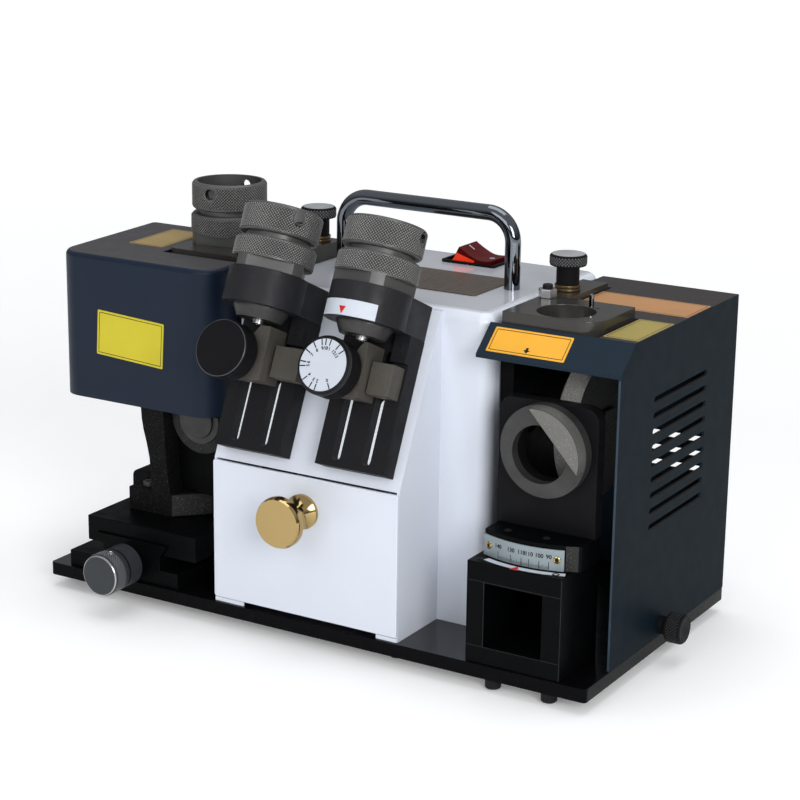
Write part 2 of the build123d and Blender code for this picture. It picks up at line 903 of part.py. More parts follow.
def arc_pad(z, inner, outer, half_angle, turn=0.0):
    """Sketch of a ring sector in front of the swivel's pivot."""
    with BuildSketch(Plane.XY.offset(z)) as sector:
        with BuildLine():
            front = turn - 90.0
            CenterArc((pivot_x, pivot_y), outer, front - half_angle, 2 * half_angle)
            CenterArc((pivot_x, pivot_y), inner, front - half_angle, 2 * half_angle)
            for side in (-1, 1):
                edge = radians(front + side * half_angle)
                Line(
                    (pivot_x + inner * cos(edge), pivot_y + inner * sin(edge)),
                    (pivot_x + outer * cos(edge), pivot_y + outer * sin(edge)),
                )
        make_face()
    return sector.sketch


with BuildPart() as portal_frame:
    with BuildSketch(Plane.XZ.offset(-portal_front)):
        with Locations((portal_center_x, base_top + portal_height / 2)):
            Rectangle(portal_width, portal_height)
        portal_opening_middle = (portal_opening_bottom + portal_opening_top) / 2
        with Locations((portal_opening_center_x, base_top + portal_opening_middle)):
            Rectangle(portal_opening_width, portal_opening_top - portal_opening_bottom, mode=Mode.SUBTRACT)
    extrude(amount=-portal_depth)
    groove = arc_pad(
        portal_top,
        tongue_radius - tongue_width / 2 - free_gap,
        tongue_radius + tongue_width / 2 + free_gap,
        groove_half_angle,
    )
    extrude(groove, amount=-tongue_depth, mode=Mode.SUBTRACT)
keep(portal_frame, "portal_frame")

left_reach = pivot_x - swivel_left
right_reach = swivel_right - pivot_x
with BuildPart() as swivel_block:
    with BuildSketch(Plane.XY.offset(swivel_bottom)):
        with BuildLine():
            left_front = (swivel_left, pivot_y - sqrt(swivel_radius**2 - left_reach**2))
            right_front = (swivel_right, pivot_y - sqrt(swivel_radius**2 - right_reach**2))
            ThreePointArc(left_front, (pivot_x, pivot_y - swivel_radius), right_front)
            Polyline(right_front, (swivel_right, swivel_rear), (swivel_left, swivel_rear), left_front)
        make_face()
    extrude(amount=swivel_height)
    tongue = arc_pad(
        swivel_bottom, tongue_radius - tongue_width / 2, tongue_radius + tongue_width / 2, tongue_half_angle
    )
    extrude(tongue, amount=-(tongue_depth - free_gap))
keep(swivel_block, "swivel_block")

arc_plate_radius = swivel_radius + flat_gap
with BuildPart() as angle_scale:
    arc_plate_outline = arc_pad(
        swivel_bottom + arc_plate_bottom,
        arc_plate_radius,
        arc_plate_radius + arc_plate_thickness,
        arc_plate_half_angle,
        arc_plate_turn,
    )
    extrude(arc_plate_outline, amount=arc_plate_height)
keep(angle_scale, "angle_scale")

ring_axis_z = swivel_top + ring_height
bracket_front_plane = Plane.XZ.offset(-bracket_front)
with BuildPart() as swivel_bracket:
    with BuildSketch(bracket_front_plane) as bracket_outline:
        with Locations(((bracket_left + bracket_right) / 2, swivel_top + bracket_height / 2)):
            Rectangle(bracket_right - bracket_left, bracket_height)
        fillet(bracket_outline.vertices().group_by(Axis.Y)[-1], bracket_corner_radius)
        with Locations((pivot_x, ring_axis_z)):
            Circle(chuck_bore_radius, mode=Mode.SUBTRACT)
    extrude(amount=-bracket_thickness)
keep(swivel_bracket, "swivel_bracket")

ring_plane = Plane(origin=(pivot_x, bracket_front, ring_axis_z), x_dir=(1, 0, 0), z_dir=(0, -1, 0))
with BuildPart() as guide_ring:
    with BuildSketch(ring_plane):
        with Locations(Rotation(0, 0, ring_step_angle)):
            with Locations((ring_eccentricity, 0)):
                Circle(ring_radius)
        Circle(chuck_bore_radius, mode=Mode.SUBTRACT)
    extrude(amount=ring_thickness)
    with BuildSketch(ring_plane.offset(ring_thickness)):
        with Locations(Rotation(0, 0, ring_step_angle)):
            with Locations((ring_eccentricity, 0)):
                Circle(ring_radius)
            with Locations((ring_chord_offset - 2 * ring_radius, 0)):
                Rectangle(4 * ring_radius, 4 * ring_radius, mode=Mode.SUBTRACT)
    extrude(amount=ring_step)
keep(guide_ring, "guide_ring")


def chuck(seat_center, direction, number, flat_turn, hole_turn):
    """Collet chuck that stands in a seat bore: body, rotating cap and collet."""
    axis_direction = Vector(*direction)
    plane = turning_plane(seat_center, direction)
    base_plane = Plane(origin=seat_center, x_dir=(1, 0, 0), z_dir=direction)
    ring_top = chuck_flange_height + chuck_ring_height
    neck_top = ring_top + chuck_neck_height
    spigot_top = neck_top + chuck_spigot_height
    nose_end = -chuck_nose_length
    cone_end = nose_end - chuck_cone_length
    with BuildPart() as body:
        turned(
            plane,
            [
                (collet_radius + running_gap, cone_end),
                (chuck_cone_radius, cone_end),
                (chuck_nose_radius, nose_end),
                (chuck_nose_radius, 0),
                (chuck_ring_radius, 0),
                (chuck_ring_radius, ring_top - chuck_edge),
                (chuck_ring_radius - chuck_edge, ring_top),
                (chuck_neck_radius, ring_top),
                (chuck_neck_radius, neck_top - flat_gap),
                (chuck_spigot_radius, neck_top - flat_gap),
                (chuck_spigot_radius, spigot_top),
                (collet_radius + running_gap, spigot_top),
            ],
        )
        with BuildSketch(base_plane):
            Circle(2 * chuck_ring_radius)
            Rectangle(chuck_flat_width, chuck_flat_width, rotation=flat_turn, mode=Mode.SUBTRACT)
        extrude(amount=chuck_flange_height, mode=Mode.SUBTRACT)
    keep(body, f"chuck_body_{number}")

    cap_top = neck_top + chuck_cap_height
    cap_floor = neck_top + chuck_cap_floor
    cup_radius = chuck_cap_radius - chuck_cap_wall
    hole_level = seat_center + axis_direction * ((cap_floor + cap_top) / 2)
    with BuildPart() as cap:
        turned(
            plane,
            [
                (chuck_spigot_radius + running_gap, neck_top),
                (chuck_cap_radius - chuck_edge, neck_top),
                (chuck_cap_radius, neck_top + chuck_edge),
                (chuck_cap_radius, cap_top - chuck_edge),
                (chuck_cap_radius - chuck_edge, cap_top),
                (cup_radius, cap_top),
                (cup_radius, cap_floor),
                (chuck_spigot_radius + running_gap, cap_floor),
            ],
        )
        across = base_plane.rotated((0, 0, hole_turn)).x_dir
        with BuildSketch(Plane(origin=hole_level, x_dir=axis_direction, z_dir=across)):
            Circle(tommy_hole_radius)
        extrude(amount=2 * chuck_cap_radius, both=True, mode=Mode.SUBTRACT)
    keep(cap, f"chuck_cap_{number}")

    with BuildPart() as collet:
        turned(
            plane,
            [
                (collet_bore_radius, cone_end - collet_tip_length),
                (collet_tip_radius, cone_end - collet_tip_length),
                (collet_tip_radius, cone_end),
                (collet_radius, cone_end),
                (collet_radius, spigot_top),
                (collet_head_radius, spigot_top),
                (collet_head_radius, spigot_top + collet_head_height),
                (collet_bore_radius, spigot_top + collet_head_height),
            ],
        )
    keep(collet, f"chuck_collet_{number}")


# Tool setting fixtures on the slanted panel
clamp_u = -slot_spread / 2


def fixture(name, center_x, chuck_number, chuck_turns, stop_right, rest_left, rest_width):
    """Slotted plate with its chuck arm, sliding stop, side rest and clamping knob."""
    foot = Vector(center_x, cabinet_front, panel_foot)
    face = Plane(origin=foot, x_dir=(1, 0, 0), z_dir=slope_out)
    arm_plane = Plane(origin=foot + slope_up * arm_bottom, x_dir=(1, 0, 0), z_dir=slope_up)
    with BuildPart() as plate:
        with BuildSketch(face):
            with Locations((0, (plate_bottom + arm_bottom) / 2)):
                Rectangle(plate_width, arm_bottom - plate_bottom)
        extrude(amount=plate_thickness)
        with BuildSketch(face.offset(plate_thickness)):
            with Locations((0, (slot_bottom + slot_top) / 2)):
                with GridLocations(slot_spread, 0, 2, 1):
                    SlotOverall(slot_top - slot_bottom, slot_width, rotation=90)
        extrude(amount=-slot_depth, mode=Mode.SUBTRACT)
        with BuildSketch(face.offset(plate_thickness)):
            with Locations((plate_width / 2 - pad_width / 2, arm_bottom - pad_height / 2)):
                Rectangle(pad_width, pad_height)
        extrude(amount=pad_depth)
    keep(plate, f"{name}_fixture")

    with BuildPart() as arm:
        with BuildSketch(arm_plane):
            with Locations((0, -arm_reach / 2)):
                Rectangle(plate_width, arm_reach)
            with Locations((0, -arm_reach)):
                Circle(arm_round_radius)
                Circle(chuck_bore_radius, mode=Mode.SUBTRACT)
        extrude(amount=plate_top - arm_bottom)
    keep(arm, f"{name}_arm")

    stop_face = face.offset(plate_thickness + flat_gap)
    with BuildPart() as stop:
        with BuildSketch(stop_face):
            with BuildLine():
                Polyline(
                    (stop_left, stop_bottom),
                    (stop_right, stop_bottom),
                    (stop_right, stop_top),
                    (stop_slope_right, stop_top),
                    (stop_slope_left, stop_shoulder),
                    (stop_left, stop_shoulder),
                    close=True,
                )
            make_face()
            with Locations((clamp_u, clamp_height)):
                Circle(clamp_pin_radius + running_gap, mode=Mode.SUBTRACT)
        extrude(amount=stop_depth)
        with BuildSketch(stop_face):
            with Locations((clamp_u, clamp_height)):
                Rectangle(slot_width - 2 * free_gap, stop_key_length)
        extrude(amount=-stop_key_depth)
    keep(stop, f"{name}_stop")

    with BuildPart() as rest:
        with BuildSketch(face.offset(plate_thickness)):
            with Locations((rest_left + rest_width / 2, rest_bottom + rest_height / 2)):
                Rectangle(rest_width, rest_height)
        extrude(amount=rest_depth)
    keep(rest, f"{name}_side_rest")

    seat = foot + slope_up * plate_top + slope_out * arm_reach
    chuck(seat, (slope_up.X, slope_up.Y, slope_up.Z), chuck_number, *chuck_turns)
    out_level = plate_thickness + stop_depth + 2 * flat_gap
    return foot + Vector(clamp_u, 0, 0) + slope_up * clamp_height + slope_out * out_level


def clamp_knob(origin, name):
    """Round knob that clamps a stop, with its pin in the stop."""
    direction = (slope_out.X, slope_out.Y, slope_out.Z)
    plane = turning_plane(origin, direction)
    hub_top = clamp_hub_height
    top = hub_top + clamp_length
    with BuildPart() as knob:
        turned(
            plane,
            [
                (0, -clamp_pin_length),
                (clamp_pin_radius, -clamp_pin_length),
                (clamp_pin_radius, 0),
                (clamp_hub_radius, 0),
                (clamp_hub_radius, hub_top),
                (clamp_radius - clamp_edge, hub_top),
                (clamp_radius, hub_top + clamp_edge),
                (clamp_radius, top - clamp_edge),
                (clamp_radius - clamp_edge, top),
                (0, top),
            ],
        )
    keep(knob, name)
    return origin + slope_out * top


left_fixture_x = cabinet_center_x - fixture_pitch / 2
right_fixture_x = cabinet_center_x + fixture_pitch / 2
left_clamp_origin = fixture(
    "left", left_fixture_x, 1, first_chuck_turns, left_stop_right, left_rest_left, left_rest_width
)
right_clamp_origin = fixture(
    "right", right_fixture_x, 2, second_chuck_turns, right_stop_right, right_rest_left, right_rest_width
)
clamp_knob(left_clamp_origin, "left_clamp_knob")
dial_seat = clamp_knob(right_clamp_origin, "right_dial_knob")
with BuildPart() as dial_face:
    with BuildSketch(Plane(origin=dial_seat, x_dir=(1, 0, 0), z_dir=slope_out)):
        Circle(dial_face_radius)
    extrude(amount=dial_face_thickness)
keep(dial_face, "dial_face")

# Left feed table: dovetail base, slide, screw, nut and knob
table_top = base_top + table_height
neck_top = table_top + dovetail_neck_height
dovetail_top = neck_top + dovetail_flare_height
flank_run = (dovetail_top_half - dovetail_neck_half) / dovetail_flare_height
flank_gap = free_gap * sqrt(1 + flank_run**2)
feed_origin = (table_center_x, table_front, feed_axis_z)
feed_plane = Plane(origin=feed_origin, x_dir=(1, 0, 0), z_dir=(0, 1, 0))
with BuildPart() as dovetail_base:
    block((table_left, table_right), (table_front, table_rear), (base_top, table_top))
    with BuildSketch(Plane.XZ.offset(-table_rear)):
        with BuildLine():
            Polyline(
                (table_center_x - dovetail_neck_half, table_top),
                (table_center_x - dovetail_neck_half, neck_top),
                (table_center_x - dovetail_top_half, dovetail_top),
                (table_center_x + dovetail_top_half, dovetail_top),
                (table_center_x + dovetail_neck_half, neck_top),
                (table_center_x + dovetail_neck_half, table_top),
                close=True,
            )
        make_face()
    extrude(amount=table_rear - table_front)
    block(
        (table_center_x - channel_half, table_center_x + channel_half),
        (table_front + channel_front_wall, table_rear),
        (base_top + channel_floor, dovetail_top),
        Mode.SUBTRACT,
    )
    with BuildSketch(feed_plane):
        Circle(feed_screw_radius + running_gap)
    extrude(amount=channel_front_wall, mode=Mode.SUBTRACT)
keep(dovetail_base, "dovetail_base")

groove_top = dovetail_top + free_gap
groove_bottom_half = dovetail_neck_half + (slide_bottom - neck_top) * flank_run + flank_gap
groove_top_half = dovetail_neck_half + (groove_top - neck_top) * flank_run + flank_gap
with BuildPart() as table_slide:
    block((slide_left, slide_right), (slide_front, slide_rear), (slide_bottom, slide_top))
    with BuildSketch(Plane.XZ.offset(-slide_rear)):
        with BuildLine():
            Polyline(
                (table_center_x - groove_bottom_half, slide_bottom),
                (table_center_x - groove_top_half, groove_top),
                (table_center_x + groove_top_half, groove_top),
                (table_center_x + groove_bottom_half, slide_bottom),
                close=True,
            )
        make_face()
    extrude(amount=slide_rear - slide_front, mode=Mode.SUBTRACT)
keep(table_slide, "table_slide")

with BuildPart() as feed_nut:
    block(
        (table_center_x - nut_half, table_center_x + nut_half),
        (nut_front, nut_front + nut_length),
        (base_top + channel_floor + free_gap, groove_top),
    )
    with BuildSketch(feed_plane.offset(nut_front - table_front)):
        Circle(feed_screw_radius + 2 * running_gap)
    extrude(amount=nut_length, mode=Mode.SUBTRACT)
keep(feed_nut, "feed_nut")

knob_back = -(feed_collar_length + free_gap)
with BuildPart() as feed_screw:
    with BuildSketch(feed_plane.offset(knob_back)):
        Circle(feed_screw_radius)
    extrude(amount=feed_screw_rear - table_front - knob_back)
    with BuildSketch(feed_plane.offset(knob_back)):
        Circle(feed_collar_radius)
    extrude(amount=feed_collar_length)
keep(feed_screw, "feed_screw")

with BuildPart() as feed_knob:
    with BuildSketch(feed_plane.offset(knob_back)):
        Circle(feed_knob_radius)
    extrude(amount=-feed_knob_length)
    chamfer(feed_knob.edges().filter_by(GeomType.CIRCLE), feed_knob_edge)
keep(feed_knob, "feed_knob")

# Casting on the slide that carries the left cover and seat
foot_top = slide_top + casting_foot_height
wall_front = left_cover_front + left_cover_wall
web_front = web_rear - web_thickness
boss_z = left_cover_bottom - boss_drop
with BuildPart() as head_casting:
    with BuildSketch(Plane.XY.offset(slide_top)) as foot_outline:
        with Locations(
            ((casting_foot_left + casting_foot_right) / 2, (casting_foot_front + casting_foot_rear) / 2)
        ):
            Rectangle(casting_foot_right - casting_foot_left, casting_foot_rear - casting_foot_front)
        chamfer(foot_outline.vertices().group_by(Axis.Y)[0].sort_by(Axis.X)[-1], casting_chamfer)
    extrude(amount=casting_foot_height)
    with BuildSketch(Plane.XZ.offset(-wall_front)):
        with BuildLine():
            Spline(
                (wall_left - wall_flare, foot_top),
                (wall_waist, foot_top + wall_waist_height),
                (wall_left, left_cover_bottom),
            )
            Polyline(
                (wall_left, left_cover_bottom),
                (wall_left, casting_top),
                (wall_right, casting_top),
                (wall_right, foot_top),
                (wall_left - wall_flare, foot_top),
            )
        make_face()
    extrude(amount=-wall_depth)
    block((wall_left, ledge_right), (wall_front, ledge_rear), (casting_top - ledge_height, casting_top))
    ledge_span = (casting_top - ledge_height, casting_top)
    block((arm_left, arm_right), (wall_front + wall_depth, arm_rear), ledge_span)
    block((arm_left, wall_left), (wall_front, wall_front + wall_depth), ledge_span)
    block((wall_right, web_right), (web_front, web_rear), (foot_top, left_cover_bottom + web_rise))
    with BuildSketch(Plane.XZ.offset(-web_front)):
        with Locations((boss_x, boss_z)):
            Circle(boss_radius)
    extrude(amount=boss_length)
    block(
        (boss_x, boss_x + boss_radius),
        (web_front - boss_length, web_front),
        (left_cover_bottom - free_gap, boss_z + boss_radius),
        Mode.SUBTRACT,
    )
keep(head_casting, "head_casting")

with BuildPart() as boss_cap:
    with BuildSketch(Plane.XZ.offset(-(web_front - boss_length))):
        with Locations((boss_x, boss_z)):
            Circle(boss_cap_radius)
    extrude(amount=boss_cap_length)
    chamfer(boss_cap.faces().sort_by(Axis.Y)[0].edges(), boss_cap_edge)
keep(boss_cap, "boss_cap")

# Left cover: a rounded shell, open below, notched for the seat and the shaft
cover_slope = atan2(left_cover_rear_top - left_cover_front_top, left_cover_rear - left_cover_front)
with BuildPart() as left_cover:
    with BuildSketch(Plane.XY.offset(left_cover_bottom)) as cover_outline:
        with Locations(
            ((left_cover_left + left_cover_right) / 2, (left_cover_front + left_cover_rear) / 2)
        ):
            Rectangle(left_cover_right - left_cover_left, left_cover_rear - left_cover_front)
        fillet(cover_outline.vertices().group_by(Axis.Y)[-1], left_cover_rear_radius)
        fillet(cover_outline.vertices().group_by(Axis.Y)[0].sort_by(Axis.X)[0], left_cover_left_radius)
        fillet(cover_outline.vertices().group_by(Axis.Y)[0].sort_by(Axis.X)[-1], left_cover_right_radius)
    extrude(amount=left_cover_rear_top - left_cover_bottom)
    split(
        bisect_by=Plane(
            origin=(left_cover_left, left_cover_front, left_cover_front_top),
            x_dir=(1, 0, 0),
            z_dir=(0, -sin(cover_slope), cos(cover_slope)),
        ),
        keep=Keep.BOTTOM,
    )
    fillet(left_cover.faces().sort_by(Axis.Z)[-1].edges(), left_cover_top_radius)
    offset(amount=-left_cover_wall, openings=left_cover.faces().sort_by(Axis.Z)[0])
    block(
        (left_seat_left - seat_notch_gap, left_cover_right),
        (left_seat_front - seat_notch_gap, left_cover_rear),
        (casting_top - seat_notch_gap, left_cover_rear_top),
        Mode.SUBTRACT,
    )
    block(
        (left_cover_right - 2 * left_cover_wall, left_cover_right),
        (motor_axis_y - shaft_slot_half, motor_axis_y + shaft_slot_half),
        (left_cover_bottom, motor_axis_z + shaft_slot_half),
        Mode.SUBTRACT,
    )
keep(left_cover, "left_cover")

# Left seat with its chuck bore
with BuildPart() as left_seat:
    with BuildSketch(Plane.XY.offset(casting_top)) as left_seat_outline:
        with BuildLine():
            Polyline(
                (left_seat_left, left_seat_front),
                (left_seat_right, left_seat_front),
                (left_seat_right, left_seat_rear),
                (left_seat_tail_left, left_seat_rear),
                (left_seat_tail_left, left_seat_back),
                (left_seat_left, left_seat_back),
                close=True,
            )
        make_face()
        fillet(left_seat_outline.vertices().group_by(Axis.X)[0], left_seat_corner_radius)
        with Locations((left_seat_bore_x, left_seat_bore_y)):
            Circle(chuck_bore_radius, mode=Mode.SUBTRACT)
    extrude(amount=seat_thickness)
    with BuildSketch(Plane.XY.offset(left_seat_top)):
        with Locations((left_adjuster_x, left_adjuster_y)):
            Circle(adjuster_pin_radius + running_gap)
    extrude(amount=-(adjuster_pin_length + flat_gap), mode=Mode.SUBTRACT)
keep(left_seat, "left_seat")

adjuster(left_adjuster_x, left_adjuster_y, left_seat_top, "left_adjuster")
chuck(Vector(left_seat_bore_x, left_seat_bore_y, left_seat_top), (0, 0, 1), 3, *third_chuck_turns)
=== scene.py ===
import bmesh
import bpy
from math import acos, asin, atan2, cos, degrees, pi, radians, sin, sqrt
from mathutils import Matrix, Vector


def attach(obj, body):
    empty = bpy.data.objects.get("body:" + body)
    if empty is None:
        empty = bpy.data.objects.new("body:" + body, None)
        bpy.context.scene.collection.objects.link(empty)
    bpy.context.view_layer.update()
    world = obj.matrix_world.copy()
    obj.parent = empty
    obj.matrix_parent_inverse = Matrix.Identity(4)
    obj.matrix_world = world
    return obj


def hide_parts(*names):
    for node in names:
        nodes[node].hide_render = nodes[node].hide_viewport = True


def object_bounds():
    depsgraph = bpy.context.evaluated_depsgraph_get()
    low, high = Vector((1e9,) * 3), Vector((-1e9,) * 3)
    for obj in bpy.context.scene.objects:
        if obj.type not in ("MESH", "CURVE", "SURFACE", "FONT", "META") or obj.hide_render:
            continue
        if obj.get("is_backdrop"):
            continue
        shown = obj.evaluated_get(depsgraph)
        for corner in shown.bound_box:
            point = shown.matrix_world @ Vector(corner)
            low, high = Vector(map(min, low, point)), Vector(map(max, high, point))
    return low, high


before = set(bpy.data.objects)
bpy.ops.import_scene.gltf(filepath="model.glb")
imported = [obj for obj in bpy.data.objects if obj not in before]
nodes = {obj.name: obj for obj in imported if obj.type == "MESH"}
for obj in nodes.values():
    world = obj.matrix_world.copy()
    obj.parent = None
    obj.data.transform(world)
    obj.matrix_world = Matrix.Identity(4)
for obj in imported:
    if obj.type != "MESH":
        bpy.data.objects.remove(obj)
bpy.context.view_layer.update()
MM = 0.001

# Directions, and the least cosine of a face that looks along one of them
ACROSS = Vector((1, 0, 0))
REAR = Vector((0, 1, 0))
Z = Vector((0, 0, 1))
FACING = 0.9

# Places shared with the CAD source, in millimetres
CABINET_FRONT = -111.5
PANEL_FOOT = 127.0
PANEL_RUN, PANEL_RISE = 53.5, 118.0
FIXTURE_X = {"left": -39.0, "right": 45.0}
ARM_TOP, ARM_OUT = 128.9, 37.0
SPINDLE_Y, SPINDLE_Z = -17.5, 169.0
STATION_X = 171.5
PIVOT = Vector((STATION_X, -24.5, 0))
PORTAL_TOP, PORTAL_FRONT = 91.0, -113.0
COVER_TOP, COVER_FRONT = 241.0, -79.5
LEFT_COVER_FRONT = -84.5
HOUSING_TOP = 245.0
SEAT_TOP = 249.0

# Directions up the slanted panel and out of it
TILT = atan2(PANEL_RUN, PANEL_RISE)
UP = Vector((0, sin(TILT), cos(TILT)))
OUT = Vector((0, -cos(TILT), sin(TILT)))


def panel_point(x, w, n):
    """A point above the slanted panel: across, up the slope and out of it."""
    return Vector((x, CABINET_FRONT, PANEL_FOOT)) + UP * w + OUT * n


# Materials
PATCH_BAND = (0.3, 0.7)
GRAIN_BAND, GRAIN_SHARE = (0.35, 0.65), 0.35
SPECK_BAND, SPECK_FINENESS = (0.66, 0.72), 1.7
GLOSS_FINENESS = 2.3
LEAST_ROUGHNESS, COAT_ROUGHNESS = 0.02, 0.08
RELIEF_STRENGTH = 0.5


def linear(r, g, b):
    """The shader's colour for a colour given as the screen shows it."""

    def one(value):
        value /= 255
        return value / 12.92 if value <= 0.04045 else ((value + 0.055) / 1.055) ** 2.4

    return (one(r), one(g), one(b), 1.0)


def finish_material(
    name,
    color,
    rough,
    metal=0.0,
    shift=0.12,
    grain=900.0,
    patch=35.0,
    rough_shift=0.10,
    bump=0.0,
    bump_grain=None,
    coat=0.0,
    stretch=(1, 1, 1),
    specks=None,
    specular=0.5,
    glow=0.0,
    tip_glint=None,
):
    """Principled surface with colour patches, fine grain, uneven gloss and a fine relief.

    Specks are (colour, share), and tip_glint is a painted highlight, the colour given to a knurl's tips."""
    made = bpy.data.materials.new(name)
    made.use_nodes = True
    tree = made.node_tree
    shader = tree.nodes["Principled BSDF"]
    link = tree.links.new
    place = tree.nodes.new("ShaderNodeTexCoord")
    mapping = tree.nodes.new("ShaderNodeMapping")
    mapping.inputs["Scale"].default_value = stretch
    link(place.outputs["Object"], mapping.inputs["Vector"])

    def noise(scale, detail=3.0):
        node = tree.nodes.new("ShaderNodeTexNoise")
        node.inputs["Scale"].default_value = scale
        node.inputs["Detail"].default_value = detail
        link(mapping.outputs["Vector"], node.inputs["Vector"])
        return node.outputs["Fac"]

    def ramp(fac, band, span):
        node = tree.nodes.new("ShaderNodeMapRange")
        node.inputs["From Min"].default_value, node.inputs["From Max"].default_value = band
        node.inputs["To Min"].default_value, node.inputs["To Max"].default_value = span
        link(fac, node.inputs["Value"])
        return node.outputs["Result"]

    def mixed(fac, first, second):
        node = tree.nodes.new("ShaderNodeMix")
        node.data_type = "RGBA"
        link(fac, node.inputs["Factor"])
        for socket, value in ((node.inputs["A"], first), (node.inputs["B"], second)):
            if isinstance(value, tuple):
                socket.default_value = value
            else:
                link(value, socket)
        return node.outputs["Result"]

    base = linear(*color)
    dark = tuple(c * (1 - shift) for c in base[:3]) + (1.0,)
    light = tuple(min(1.0, c * (1 + shift)) for c in base[:3]) + (1.0,)
    patches = mixed(ramp(noise(patch), PATCH_BAND, (0.0, 1.0)), dark, light)
    tone = mixed(ramp(noise(grain), GRAIN_BAND, (0.0, GRAIN_SHARE)), patches, dark)
    if specks:
        speck_color, speck_share = specks
        spots = ramp(noise(grain * SPECK_FINENESS, 1.0), SPECK_BAND, (0.0, speck_share))
        tone = mixed(spots, tone, linear(*speck_color))
    # Painted highlight: the knurl's tips, marked by the height attribute, blend to the glint colour
    if tip_glint:
        height = tree.nodes.new("ShaderNodeAttribute")
        height.attribute_name = "height"
        tone = mixed(height.outputs["Fac"], tone, linear(*tip_glint))
    link(tone, shader.inputs["Base Color"])
    gloss = (max(LEAST_ROUGHNESS, rough - rough_shift), min(1.0, rough + rough_shift))
    link(ramp(noise(patch * GLOSS_FINENESS), PATCH_BAND, gloss), shader.inputs["Roughness"])
    shader.inputs["Metallic"].default_value = metal
    shader.inputs["Coat Weight"].default_value = coat
    shader.inputs["Coat Roughness"].default_value = COAT_ROUGHNESS
    shader.inputs["Specular IOR Level"].default_value = specular
    shader.inputs["Emission Color"].default_value = base
    shader.inputs["Emission Strength"].default_value = glow
    if bump:
        relief = tree.nodes.new("ShaderNodeBump")
        relief.inputs["Strength"].default_value = RELIEF_STRENGTH
        relief.inputs["Distance"].default_value = bump * MM
        link(noise(bump_grain or grain), relief.inputs["Height"])
        link(relief.outputs["Normal"], shader.inputs["Normal"])
    return made


BASE_BLACK = finish_material(
    "base_black", (5, 5, 7), 0.28, rough_shift=0.06, bump=0.02, grain=1500, specular=0.06
)
BASE_TOP = finish_material(
    "base_top", (7, 7, 10), 0.20, rough_shift=0.05, bump=0.01, grain=1500, specular=0.5
)
BLACK = finish_material(
    "oxide_black", (29, 29, 31), 0.48, bump=0.02, grain=1200, specks=((66, 66, 68), 0.5), specular=0.08
)
ARM = finish_material(
    "arm_black", (36, 36, 39), 0.42, bump=0.02, grain=1200, specks=((78, 78, 81), 0.5), specular=0.14
)
DEEP = finish_material(
    "deep_black", (5, 6, 7), 0.44, bump=0.03, grain=1100, specks=((36, 36, 38), 0.4), specular=0.05
)
CAST = finish_material(
    "cast_black", (14, 14, 15), 0.55, bump=0.35, grain=900, bump_grain=700,
    specks=((84, 82, 80), 0.6), specular=0.06,
)
SPECKLED = finish_material(
    "cast_speckled", (40, 39, 38), 0.6, bump=0.3, grain=800, bump_grain=650,
    specks=((122, 120, 116), 0.8), specular=0.2,
)
WHITE = finish_material(
    "white_coat", (216, 221, 232), 0.24, shift=0.008, rough_shift=0.03, bump=0.008,
    grain=500, coat=0.2, specular=0.35,
)
# Painted shade: a darker copy of the white coat for the housing's top, which takes less light than the front
WHITE_TOP_SHADE = finish_material(
    "white_top_shade", (196, 199, 206), 0.14, shift=0.008, rough_shift=0.03, bump=0.004,
    grain=500, coat=0.5, specular=0.5,
)
NAVY = finish_material(
    "navy_coat", (17, 30, 47), 0.44, shift=0.03, rough_shift=0.03, bump=0.09,
    grain=1500, bump_grain=900, specular=0.22,
)
# Painted sheen: a lighter, greyer copy of the navy for the left cover's top faces
NAVY_TOP_SHEEN = finish_material(
    "navy_top_sheen", (67, 65, 67), 0.62, shift=0.05, bump=0.10, grain=1300,
    specks=((104, 102, 102), 0.5), specular=0.25,
)
SLATE = finish_material(
    "slate_coat", (34, 45, 55), 0.50, shift=0.03, rough_shift=0.03, bump=0.06, grain=1500, specular=0.03
)
# Painted shade: a darker copy of the slate for the right cover's right side
SLATE_SIDE_SHADE = finish_material(
    "slate_side_shade", (14, 25, 32), 0.50, shift=0.03, rough_shift=0.03, bump=0.06, grain=1500, specular=0.03
)
# Painted sheen: a lighter, browner copy of the slate for the right cover's top faces
SLATE_TOP_SHEEN = finish_material(
    "slate_top_sheen", (54, 50, 49), 0.60, shift=0.04, rough_shift=0.03, bump=0.06, grain=1300, specular=0.25
)
SEAT = finish_material(
    "seat_steel", (58, 56, 53), 0.22, 0.2, shift=0.08, rough_shift=0.05, bump=0.006,
    grain=1000, specular=0.35,
)
CHUCK = finish_material("chuck_steel", (92, 92, 91), 0.44, 0.5, bump=0.02, grain=1300, specular=0.3)
# Painted light on the chuck knurls: grooves far darker than the chuck's steel as painted shade, tips pale as
# painted glints
KNURL = finish_material(
    "knurl_steel", (27, 27, 27), 0.36, 0.4, grain=1500, specular=0.3, tip_glint=(156, 155, 153)
)
# Painted shade: a darker steel for the inside of the hollow chuck caps
CUP_SHADE = finish_material("cup_inside_shade", (76, 75, 75), 0.5, 0.3, bump=0.02, grain=1300, specular=0.15)
RING = finish_material(
    "ring_steel", (66, 66, 65), 0.42, 0.5, shift=0.2, patch=60, bump=0.02, grain=1300, specular=0.3
)
BRACKET = finish_material("bracket_black", (17, 17, 19), 0.46, bump=0.02, grain=1200, specular=0.08)
RING_FACE = finish_material(
    "ring_face", (112, 111, 108), 0.44, 0.5, bump=0.04, grain=700,
    specks=((166, 164, 158), 0.6), specular=0.3,
)
STEEL = finish_material(
    "ground_steel", (87, 84, 78), 0.56, 0.3, bump=0.05, grain=800,
    specks=((116, 112, 103), 0.7), specular=0.16,
)
BRIGHT = finish_material("bright_steel", (178, 178, 180), 0.26, 0.95, shift=0.06, bump=0.01)
CHROME = finish_material("chrome", (104, 108, 114), 0.05, 1.0, shift=0.02, rough_shift=0.02)
